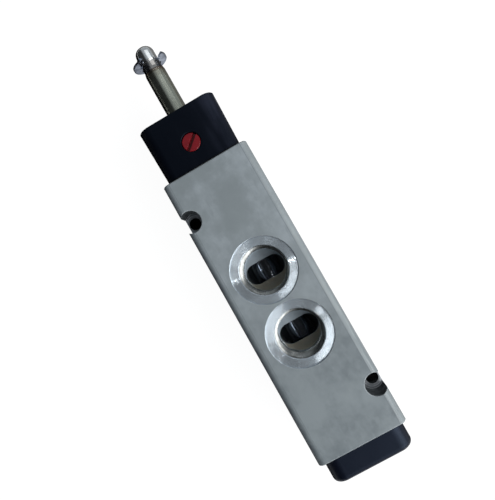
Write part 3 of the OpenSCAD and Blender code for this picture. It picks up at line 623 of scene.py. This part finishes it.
# Its band at 122.0 is the dark joint line; the wider band at 124.8 is painted shade that darkens the
# neck and dulls its reflection before the groove.
CORE_STEEL = TurnedFinish(
    "turned_core_steel", srgb(226, 228, 228), srgb(190, 191, 190), srgb(240, 241, 242), metallic=1,
    rough=0.16, relief_mm=0.002, edge_mm=0.12, wear=0.5, lines=4600, along_x=True, mottle=0.3,
    tint=srgb(112, 90, 68), tints_mm=((122.0, 1.2, 1.0), (124.8, 3.6, 0.6)))
PLUNGER_STEEL = TurnedFinish(
    "ground_plunger_steel", srgb(172, 174, 176), srgb(136, 138, 140), srgb(214, 216, 218),
    metallic=1, rough=0.24, relief_mm=0.002, edge_mm=0.1, lines=6500, along_x=True)
CLIP_ZINC = Finish(
    "bright_zinc_clip", srgb(146, 154, 168), srgb(84, 91, 106), srgb(206, 213, 222), metallic=1,
    rough=0.2, pits=3000, blotches=260, relief_mm=0.006, edge_mm=0.18, wear=0.7, mottle=0.9)
RED_PLASTIC = Finish(
    "red_moulded_plastic", srgb(116, 14, 24), srgb(94, 11, 20), srgb(170, 66, 74), rough=0.28,
    film=0.1, specular=0.4, pits=2600, blotches=700, relief_mm=0.008, edge_mm=0.12, wear=0.5)


@dataclass
class Paintbox:
    """Builds each finish the first time that it is asked for.

    Attributes:
        effects: The shared effects.
        made: The materials so far.
    """

    effects: Effects = field(default_factory=Effects)
    made: dict[str, Material] = field(default_factory=dict)

    def dress(self, piece: Object, finish: Finish) -> str:
        """Gives a piece, or a CAD node, one finish all over.

        Args:
            piece: The object.
            finish: The finish.

        Returns:
            The object's name.
        """
        if finish.name not in self.made:
            self.made[finish.name] = finish.build(self.effects)
        if not piece.material_slots:
            piece.data.materials.append(self.made[finish.name])
        for place in piece.material_slots:
            place.material = self.made[finish.name]
        return piece.name


def new_piece(name: str, shape: Mesh, smooth: float = 40, at: Point = (0, 0, 0),
              turn: Matrix | None = None) -> Object:
    """Makes a mesh object whose edges sharper than an angle stay sharp.

    Args:
        name: The piece's name.
        shape: Its points about its own origin, and its faces.
        smooth: The angle in degrees below which an edge is shaded smooth.
        at: Where its origin goes.
        turn: A rotation for the object, or None.

    Returns:
        The object.
    """
    mesh = bpy.data.meshes.new(name)
    mesh.from_pydata(shape[0], [], shape[1])
    mesh.validate()
    mesh.shade_smooth()
    mesh.set_sharp_from_angle(angle=math.radians(smooth))
    piece = bpy.data.objects.new(name, mesh)
    bpy.context.scene.collection.objects.link(piece)
    piece.matrix_world = Matrix.Translation(at) @ (turn or Matrix.Identity(4))
    return piece


def angles(steps: int) -> list[float]:
    """The angles that part a full turn into equal steps."""
    return [2 * math.pi * i / steps for i in range(steps)]


def polar(radius: float, height: float, angle: float) -> Point:
    """The point in metres at a radius from Z and a height."""
    return radius * MM * math.cos(angle), radius * MM * math.sin(angle), height * MM


def lathe(sections: list[Profile]) -> Mesh:
    """Joins closed outlines that stand round Z into a ring.

    Args:
        sections: Radius and height of each corner, going round the section, at each equal step.

    Returns:
        The shape.
    """
    steps, count = len(sections), len(sections[0])
    points = [polar(r, z, angle) for section, angle in zip(sections, angles(steps))
              for r, z in section]
    faces = []
    for i in range(steps):
        here, there = i * count, (i + 1) % steps * count
        for j in range(count):
            k = (j + 1) % count
            faces.append((here + j, there + j, there + k, here + k))
    return points, faces


def sweep(rings: list[list[Point]]) -> Mesh:
    """Joins closed sections into a tube with closed ends.

    Args:
        rings: The sections in order, each with the same number of points.

    Returns:
        The shape.
    """
    count = len(rings[0])
    end = (len(rings) - 1) * count
    faces: list[tuple[int, ...]] = [tuple(reversed(range(count)))]
    for here in range(0, end, count):
        for j in range(count):
            k = (j + 1) % count
            faces.append((here + j, here + k, here + count + k, here + count + j))
    faces.append(tuple(range(end, end + count)))
    return [point for ring in rings for point in ring], faces


@dataclass
class Port:
    """One threaded port: the turned face round it and the thread in it.

    Attributes:
        label: The port's number.
        x_mm: Its place along the spool.
        face: The face that it opens on.
        rim_r: Radius of the turned face.
        bore_r: Radius at the bottom of the thread's grooves.
        crest_r: Radius at the thread's crests.
        sunk: Depth of the turned face.
        mouth: Chamfer at the thread's mouth.
        rim_chamfer: Chamfer at the turned face's rim.
        depth: Depth of the threaded wall.
        floor_r: Radius of the floor below the thread.
        floor: Depth of the floor.
        slot: Length and width of the slot in the floor.
        pitch: Pitch of the thread.
        flank: Half the width of the thread's ridge at its root and at its crest, in pitches.
        bare: How far the middle of the ridge stays from the mouth and from the wall's end.
        skin: Thickness of the turned skin.
        groove: Pitch and steepness of the fine grooves on the turned face.
        steps: Facets in a full turn of the turned parts.
    """

    label: str
    x_mm: float
    face: Face
    rim_r: float = 14.35
    bore_r: float = 10.4775
    crest_r: float = 9.36
    sunk: float = 0.55
    mouth: float = 0.25
    rim_chamfer: float = 0.12
    depth: float = 13.0
    floor_r: float = 9.3
    floor: float = 14.5
    slot: Pair = (18.2, 9.2)
    pitch: float = 1.814
    flank: Pair = (0.41, 0.07)
    bare: Pair = (0.45, 0.9)
    skin: float = 0.02
    groove: Pair = (0.3, 0.32)
    steps: int = 144

    def grooves(self, lift: float) -> Profile:
        """The fine grooves that the cutter left on the turned face.

        Args:
            lift: How far the face stands off the solid.

        Returns:
            Radius and height of each corner, from the rim inwards.
        """
        pitch, steep = self.groove
        steps = 6
        count = int((self.rim_r - self.bore_r - self.mouth - pitch) / pitch) * steps
        tall = steep * pitch / (2 * math.pi)
        return [(self.rim_r - lift - pitch / 2 - i * pitch / steps,
                 lift - self.sunk + tall * math.sin(2 * math.pi * i / steps))
                for i in range(count + 1)]

    def wall(self, lift: float) -> Profile:
        """The turned surface from the rim to the end of the thread.

        Args:
            lift: How far the line stands off the solid, into the opening.

        Returns:
            Radius and height of each corner.
        """
        return [(self.rim_r + self.rim_chamfer - lift, 0),
                (self.rim_r - lift, -self.rim_chamfer),
                (self.rim_r - lift, lift - self.sunk),
                *(self.grooves(lift) if lift > 0 else []),
                (self.bore_r + self.mouth, lift - self.sunk),
                (self.bore_r - lift, -self.sunk - self.mouth),
                (self.bore_r - lift, lift - self.depth), (self.floor_r - lift, lift - self.depth),
                (self.floor_r - lift, 2 * self.skin - self.floor)]

    def make_skin(self) -> Mesh:
        """The turned face, its rim and the wall below it."""
        return lathe([self.wall(self.skin) + self.wall(-self.skin / 2)[::-1]] * self.steps)

    def make_thread(self) -> Mesh:
        """Makes the helical ridge of the thread, which fades in and out over half a turn.

        Returns:
            Its shape.
        """
        steps, fade, stub, crest_round = 72, 36, 0.03, 0.09
        low, high = -self.depth + self.bare[1], -self.sunk - self.mouth - self.bare[0]
        count = round((high - low) / self.pitch * steps)
        root, crest = self.flank[0] * self.pitch, self.flank[1] * self.pitch
        back, front = self.bore_r + self.skin / 2, self.bore_r - 2 * self.skin
        rings = []
        for i in range(count + 1):
            grown = min(1.0, stub + i / fade, stub + (count - i) / fade)
            top = self.bore_r - (self.bore_r - self.crest_r) * grown
            middle = low + self.pitch * i / steps
            half = [(back, root), (front, root), (top + crest_round, crest), (top, crest * 0.4)]
            section = [(r, -z) for r, z in half] + half[::-1]
            rings.append([polar(r, middle + z, 2 * math.pi * i / steps) for r, z in section])
        return sweep(rings)

    def slot_edge(self, angle: float) -> float:
        """How far the slot reaches from the port's axis.

        Args:
            angle: Direction round the axis, in radians from X.

        Returns:
            The radius.
        """
        half = self.slot[1] / 2
        run = self.slot[0] / 2 - half
        side, along = abs(math.cos(angle)), abs(math.sin(angle))
        if side > 1e-6 and half * along / side <= run:
            return half / side
        return run * along + math.sqrt(half * half - (run * side) ** 2)

    def make_floor(self) -> Mesh:
        """Makes the turned floor round the slot.

        Returns:
            Its shape.
        """
        top, low = 2 * self.skin - self.floor, -self.floor - self.skin / 2
        outer = self.floor_r + self.skin / 2
        inners = [self.slot_edge(angle) for angle in angles(self.steps)]
        return lathe([[(outer, low), (outer, top), (inner, top), (inner, low)]
                      for inner in inners])

    def build(self, paint: Paintbox) -> list[str]:
        """Makes the port's pieces and sets them on the housing.

        Args:
            paint: The paintbox.

        Returns:
            The names of the pieces.
        """
        turn = Matrix.Rotation(math.pi, 4, "X") if self.face is Face.BACK else None
        names = []
        for part, mesh, smooth, finish in (("turned_face", self.make_skin(), 20, PORT_METAL),
                                           ("floor", self.make_floor(), 30, FLOOR_METAL),
                                           ("thread", self.make_thread(), 35, THREAD_METAL)):
            piece = new_piece(f"port_{self.label}_{part}", mesh, smooth,
                              (self.x_mm * MM, 0, self.face.value * MM), turn)
            names.append(paint.dress(piece, finish))
            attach(piece, HOUSING)
        return names


@dataclass
class ValveBody:
    """The casting with its five ports.

    Attributes:
        pitch_mm: Distance between neighbours on one face.
    """

    pitch_mm: float = 30.0

    def ports(self) -> list[Port]:
        """Two work ports on the front, a supply and two exhausts on the back."""
        half = self.pitch_mm / 2
        return [Port("4", half, Face.FRONT), Port("2", -half, Face.FRONT),
                Port("5", self.pitch_mm, Face.BACK), Port("1", 0, Face.BACK),
                Port("3", -self.pitch_mm, Face.BACK)]

    def build(self, nodes: dict[str, Object], paint: Paintbox) -> list[str]:
        """Dresses the casting, builds its ports and lists the names of both."""
        dressed = paint.dress(nodes["valve_body"], CAST)
        return [dressed, *(name for port in self.ports() for name in port.build(paint))]


@dataclass
class CoilSpring:
    """A round-wire compression spring with ground closed ends.

    Attributes:
        name: The piece's name.
        node: The CAD node that it stands for.
        joint: The joint that would shorten it, which is not used.
        foot_mm: Where its fixed end is along X.
        top_mm: Where its moving end is along X.
        mean_r: Mean radius of its coil.
        wire: Diameter of its wire.
        turns: Its turns.
        keep: Its length at the end of the joint's travel, as a share, which is not used.
        fixed_at_foot: True if the fixed end is the one at foot_mm, which is not used.
    """

    name: str
    node: str
    joint: str
    foot_mm: float
    top_mm: float
    mean_r: float
    wire: float
    turns: int
    keep: float
    fixed_at_foot: bool = True

    def rise(self, turn: float) -> float:
        """Height of the wire's middle after some turns, with one closed turn at each end.

        Args:
            turn: Turns from the foot.

        Returns:
            The height.
        """
        length = self.top_mm - self.foot_mm - self.wire
        closed = 1.04 * self.wire
        free = (length - 2 * closed) / (self.turns - 2)
        if turn < 1:
            return closed * turn
        if turn > self.turns - 1:
            return length - closed * (self.turns - turn)
        return closed + free * (turn - 1)

    def build(self, paint: Paintbox) -> Object:
        """Makes the spring.

        Args:
            paint: The paintbox.

        Returns:
            The piece.
        """
        steps, sides, half = 40, 14, self.wire / 2
        rings = []
        for turn in [i / steps for i in range(self.turns * steps + 1)]:
            ring = []
            for side in angles(sides):
                y, z, x = polar(self.mean_r + half * math.cos(side),
                                self.foot_mm + self.rise(turn) + half * (1 + math.sin(side)),
                                2 * math.pi * turn)
                ring.append((x, y, z + AXIS_MM * MM))
            rings.append(ring)
        piece = new_piece(self.name, sweep(rings), 60)
        paint.dress(piece, WIRE)
        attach(piece, HOUSING)
        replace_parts(piece, self.node)
        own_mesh(piece)
        return piece


@dataclass
class ScrewSet:
    """Four socket-head screws that stand for the plain ones of one housing.

    Attributes:
        node: The CAD node that they stand for.
        seat_mm: Where the undersides of their heads are along X.
        tip_mm: Where their shanks end along X.
        y_mm: Their distance from the spool axis across the body.
        z_mm: Their distance from the spool axis through the body.
        head_r: Radius of their heads.
        head_h: Height of their heads.
        socket: Width across the flats of their sockets.
        shank_r: Radius at the crests of their threads.
        pitch: Pitch of their threads.
        ridge: Depth of their threads.
        rim: Height and width of the bevel at the top of their heads.
        flutes: Flutes in the knurl of a head.
        knurl: Depth of the flutes.
        steps: Points round a screw.
    """

    node: str
    seat_mm: float
    tip_mm: float
    y_mm: float
    z_mm: float
    head_r: float = 3.5
    head_h: float = 4.0
    socket: float = 3.0
    shank_r: float = 1.95
    pitch: float = 0.7
    ridge: float = 0.2
    rim: float = 0.3
    flutes: int = 30
    knurl: float = 0.09
    steps: int = 120

    def ring(self, radii: list[float]) -> Profile:
        """The points across the screw that have these radii at equal steps."""
        return [(r * math.cos(a), r * math.sin(a)) for r, a in zip(radii, angles(self.steps))]

    def outline(self, radius: float, depth: float) -> Profile:
        """A round outline with knurled flutes of a depth."""
        return self.ring([radius - depth * (0.5 - 0.5 * math.cos(self.flutes * angle))
                          for angle in angles(self.steps)])

    def hexagon(self, width: float) -> Profile:
        """The outline of a socket of a width across the flats."""
        sixth = math.pi / 3
        return self.ring([width / 2 / math.cos((angle + sixth / 2) % sixth - sixth / 2)
                          for angle in angles(self.steps)])

    def thread(self, low: float) -> list[Point]:
        """Radius, depth of flutes and height down the shank, which is rolled as rounded rings."""
        steps = 4
        return [(self.shank_r - self.ridge * (0.5 - 0.5 * math.cos(2 * math.pi * i / steps)), 0,
                 -i * self.pitch / steps) for i in range(int(-low / self.pitch) * steps + 1)]

    def levels(self) -> list[tuple[Profile, float]]:
        """The screw's outlines from the bottom of the socket over the head to the tip.

        Returns:
            Each outline and its height above the seat.
        """
        length, top, head = abs(self.tip_mm - self.seat_mm), self.head_h, self.head_r
        sockets = [(0.02, 1.75), (self.socket - 0.1, 2.0), (self.socket, 2.1),
                   (self.socket, top - 0.2)]
        rounds = [(self.socket / 2 + 0.5, 0, top), (head - self.rim, 0, top),
                  (head - 0.08, 0, top - self.rim), (head, self.knurl, top - self.rim - 0.15),
                  (head, self.knurl, 0.35), (head - 0.1, 0, 0.15), (head - 0.25, 0, 0),
                  *self.thread(0.6 - length), (1.5, 0, -length), (0.02, 0, -length)]
        return ([(self.hexagon(width), z) for width, z in sockets]
                + [(self.outline(r, depth), z) for r, depth, z in rounds])

    def build(self, paint: Paintbox) -> Object:
        """Makes the four screws as one piece.

        Args:
            paint: The paintbox.

        Returns:
            The piece.
        """
        out = 1 if self.seat_mm > 0 else -1
        levels = self.levels()
        points: list[Point] = []
        faces: list[tuple[int, ...]] = []
        for sy, sz in ((-1, -1), (-1, 1), (1, -1), (1, 1)):
            rings = [[((self.seat_mm + out * z) * MM, (sy * self.y_mm + out * u) * MM,
                       (AXIS_MM + sz * self.z_mm + v) * MM) for u, v in ring]
                     for ring, z in levels]
            more, walls = sweep(rings)
            faces += [tuple(reversed([k + len(points) for k in wall])) for wall in walls]
            points += more
        piece = new_piece(self.node + "_detailed", (points, faces), 30)
        paint.dress(piece, SCREW_ZINC)
        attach(piece, HOUSING)
        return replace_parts(piece, self.node)


@dataclass
class PlainDress:
    """The CAD nodes whose shapes are right as they are.

    Attributes:
        finishes: The finish of each.
    """

    finishes: dict[str, Finish] = field(default_factory=lambda: {
        "spool": SPOOL_BLACK, "spool_seals": RUBBER, "pilot_piston": ACETAL,
        "piston_seal": RUBBER, "spring_seat": ACETAL, "end_cap": NYLON, "cap_gasket": GASKET,
        "pilot_head": HEAD_NYLON, "head_gasket": GASKET, "seat_nozzle": BRASS,
        "passage_plugs": SCREW_ZINC, "core_tube": TUBE_STEEL, "tube_seal": RUBBER,
        "tube_nut": BRASS, "fixed_core": CORE_STEEL, "plunger": PLUNGER_STEEL,
        "plunger_seals": SEAL_RED, "retaining_clip": CLIP_ZINC, "override_spindle": RED_PLASTIC,
        "override_seal": RUBBER, "override_pin": SCREW_ZINC})

    def build(self, nodes: dict[str, Object], paint: Paintbox) -> list[str]:
        """Gives each node its finish, and lists their names."""
        return [paint.dress(nodes[name], finish) for name, finish in self.finishes.items()]


@dataclass
class Softbox:
    """A rectangular lamp that looks at a point of the valve.

    Attributes:
        name: The lamp's name.
        azimuth: Direction from the valve in the picture, in degrees, 0 to the right and 90 up.
        height: Angle above the floor in degrees.
        distance: Distance from the point that it looks at.
        size: Width and height of the lamp.
        radiance: Brightness of its face, where 1 is white.
        tint: Its colour.
        aim: The point that it looks at.
        along: The direction that its height follows.
    """

    name: str
    azimuth: float
    height: float
    distance: float
    size: Pair
    radiance: float
    tint: Colour = (1, 1, 1)
    aim: Point = (0.015, 0, 0.05)
    along: Point = (0, 0, 1)

    def build(self, right: Vector, up: Vector) -> Object:
        """Makes the lamp.

        Args:
            right: The picture's right on the floor.
            up: The picture's up on the floor.

        Returns:
            The lamp.
        """
        angle, rise = math.radians(self.azimuth), math.radians(self.height)
        flat = right * math.cos(angle) + up * math.sin(angle)
        away = flat * math.cos(rise) + Vector((0, 0, math.sin(rise)))
        data = bpy.data.lights.new(self.name, "AREA")
        data.shape = "RECTANGLE"
        data.size, data.size_y = self.size
        data.energy = self.radiance * math.pi * self.size[0] * self.size[1]
        data.color = self.tint
        lamp = bpy.data.objects.new(self.name, data)
        bpy.context.scene.collection.objects.link(lamp)
        lamp.rotation_mode = "QUATERNION"
        lamp.location = Vector(self.aim) + away * self.distance
        tall = (Vector(self.along) - away * away.dot(Vector(self.along))).normalized()
        lamp.rotation_quaternion = Matrix((tall.cross(away), tall, away)).transposed().to_quaternion()
        return lamp


def bare_material(piece: Object, name: str) -> tuple[Graph, NodeSocket]:
    """Gives a piece a material that has no shader yet.

    Args:
        piece: The piece.
        name: The material's name.

    Returns:
        The material's graph, and the socket that its shader goes into.
    """
    material = bpy.data.materials.new(name)
    material.use_nodes = True
    nodes = material.node_tree.nodes
    nodes.remove(nodes["Principled BSDF"])
    piece.data.materials.append(material)
    return Graph(material.node_tree), nodes["Material Output"].inputs["Surface"]


def rectangle(near: Pair, far: Pair, z: float) -> Mesh:
    """A flat rectangle between two opposite corners, facing up."""
    return [(*near, z), (far[0], near[1], z), (*far, z), (near[0], far[1], z)], [(0, 1, 2, 3)]


@dataclass
class Studio:
    """The floor, the light and the camera.

    Attributes:
        eye: Where the camera is.
        axes: The camera's right, down and forward.
        focal_px: Focal length in pixels of the picture.
        frame_px: Width and height of the picture.
        floor_half: Half the side of the floor.
        floor_gap_mm: How far the floor lies below the valve's back face.
        floor_shade: Grey of the floor to the light that it passes on.
        floor_white: Grey of the floor as it is seen and mirrored.
        glow: Share and strength of the glow that makes the seen floor white.
        fill: Strength of the even light from all round.
        sky: Strength of what shiny parts mirror in the right half of the room.
        dusk: Strength of what they mirror in its left half.
        sky_tint: Colour of the light of the room.
    """

    eye: Point = (0.0141, -0.0118, 0.2568)
    axes: tuple[Point, Point, Point] = ((-0.49302269, -0.86591264, -0.08440335),
                                        (-0.86823852, 0.49589333, -0.01586445),
                                        (0.05559228, 0.06546071, -0.99630537))
    focal_px: float = 498.92
    frame_px: tuple[int, int] = (495, 500)
    floor_half: float = 3.0
    floor_gap_mm: float = 0.05
    floor_shade: float = 0.5
    floor_white: float = 0.95
    glow: Pair = (0.86, 1.1)
    fill: float = 0.26
    sky: float = 0.42
    dusk: float = 0.03
    sky_tint: Colour = (0.86, 0.93, 1)

    def lamps(self) -> list[Softbox]:
        """A large box on the right, a small one for the core's highlight and a near strip."""
        return [Softbox("right_box", -18, 38, 1.15, (1.4, 0.94), 4.5, (0.985, 0.99, 1)),
                Softbox("core_box", 68.8, 44.4, 0.7, (0.05, 0.5), 1.6, (0.95, 0.975, 1),
                        (0.129, 0, 0.029), (0, 0.7, 0.554)),
                Softbox("near_strip", 19.7, 45, 0.16, (0.0015, 0.12), 60)]

    def make_camera(self) -> Object:
        """Makes the camera at the photograph's place.

        Returns:
            The camera.
        """
        right, down, forward = (Vector(axis) for axis in self.axes)
        data = bpy.data.cameras.new("photo_camera")
        data.sensor_width = 36
        data.lens = self.focal_px / max(self.frame_px) * data.sensor_width
        data.clip_start, data.clip_end = 0.01, 20
        camera = bpy.data.objects.new("photo_camera", data)
        bpy.context.scene.collection.objects.link(camera)
        turn = Matrix((right, -down, -forward)).transposed().to_4x4()
        camera.matrix_world = Matrix.Translation(self.eye) @ turn
        bpy.context.scene.camera = camera
        return camera

    def make_floor(self) -> Object:
        """Makes the floor, which shows white and keeps the valve's shadow.

        Returns:
            The floor.
        """
        half = self.floor_half
        floor = new_piece("floor", rectangle((-half, -half), (half, half), 0), 40,
                          (0, 0, -self.floor_gap_mm * MM))
        graph, surface = bare_material(floor, "white_floor")
        path = graph.add("LightPath").outputs
        seen = graph.math("MAXIMUM", path["Is Camera Ray"], path["Is Glossy Ray"])
        seen = graph.math("MAXIMUM", seen, path["Is Transmission Ray"])
        colour = graph.mix(seen, (self.floor_shade,) * 3, (self.floor_white,) * 3)
        matt = graph.fill(graph.add("BsdfDiffuse"), {"Color": colour})
        glow = graph.fill(graph.add("Emission"), {"Strength": self.glow[1]})
        graph.feed(surface, graph.add("MixShader", graph.math("MULTIPLY", seen, self.glow[0]),
                                      matt.outputs[0], glow.outputs[0]).outputs[0])
        return floor

    def make_cards(self) -> list[Object]:
        """Makes the cards that only reflections see.

        The steel parts mirror the low cards where they would mirror the white floor, and the
        turned parts mirror the last, which hangs over the valve as a camera would.

        Returns:
            The cards.
        """
        cards = []
        low = 0.4 * MM
        for name, near, far, lift, shade in (
                ("left_card", (-0.12, 0.01), (0.45, 0.5), low, 0.004),
                ("right_card", (-0.12, -0.5), (0.45, -0.008), low, 0.22),
                ("end_card", (0.137, -0.008), (0.45, 0.01), low, 0.05),
                ("camera_card", (-0.08, -0.15), (0.11, 0.08), 0.3, 0.01)):
            card = new_piece(name, rectangle(near, far, lift))
            graph, surface = bare_material(card, name + "_cloth")
            glow = graph.fill(graph.add("Emission"), {"Color": (shade, shade, shade)})
            graph.feed(surface, glow.outputs[0])
            card.visible_camera = card.visible_diffuse = False
            card.visible_shadow = card.visible_transmission = False
            cards.append(card)
        return cards

    def make_sky(self) -> None:
        """Sets the room's light: even, but dark to the left in reflections, and white to see."""
        world = bpy.data.worlds.new("room_light")
        bpy.context.scene.world = world
        world.use_nodes = True
        graph = Graph(world.node_tree)
        across = graph.add("SeparateXYZ", graph.add("TexCoord").outputs["Generated"]).outputs[1]
        path = graph.add("LightPath").outputs
        shiny, seen = path["Is Glossy Ray"], path["Is Camera Ray"]
        sided = graph.spread(across, 0.02, 0.26, self.sky, self.dusk)
        strength = graph.math("MULTIPLY_ADD", shiny, graph.math("SUBTRACT", sided, self.fill),
                              self.fill)
        graph.fill(world.node_tree.nodes["Background"], {
            "Color": graph.mix(seen, self.sky_tint, (1, 1, 1)),
            "Strength": graph.math("MULTIPLY_ADD", seen, 1 - self.fill, strength)})

    def build(self) -> list[str]:
        """Builds the studio.

        Returns:
            The names of its parts.
        """
        bpy.context.scene.view_settings.view_transform = "Standard"
        self.make_sky()
        right, down = Vector(self.axes[0]), Vector(self.axes[1])
        right.z = down.z = 0
        lamps = [lamp.build(right.normalized(), -down.normalized()).name for lamp in self.lamps()]
        stage = [self.make_camera(), self.make_floor(), *self.make_cards()]
        return [item.name for item in stage] + lamps


def main() -> None:
    """Builds the scene in order and reports each piece."""
    logging.basicConfig(level=logging.INFO, format="%(name)s: %(message)s")
    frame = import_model()
    nodes = frame["nodes"]
    LOG.info("studio: %s", ", ".join(Studio().build()))
    paint = Paintbox()
    LOG.info("dressed: %s", ", ".join(PlainDress().build(nodes, paint)))
    LOG.info("body: %s", ", ".join(ValveBody().build(nodes, paint)))
    springs = [CoilSpring("return_spring_wire", "return_spring", "spool_slide",
                          -69.9, -38.8, 4.3, 1.2, 9, 0.7588),
               CoilSpring("plunger_spring_wire", "plunger_spring", "plunger_slide",
                          104.0, 113.8, 3.66, 0.6, 6, 0.847, fixed_at_foot=False)]
    for spring in springs:
        LOG.info("spring: %s", spring.build(paint).name)
    screws = [ScrewSet("head_screws", 87.9, 57.5, 12.65, 17.0),
              ScrewSet("cap_screws", -73.5, -57.5, 12.05, 15.7)]
    for screw in screws:
        LOG.info("screws: %s", screw.build(paint).name)


if __name__ == "__main__":
    main()
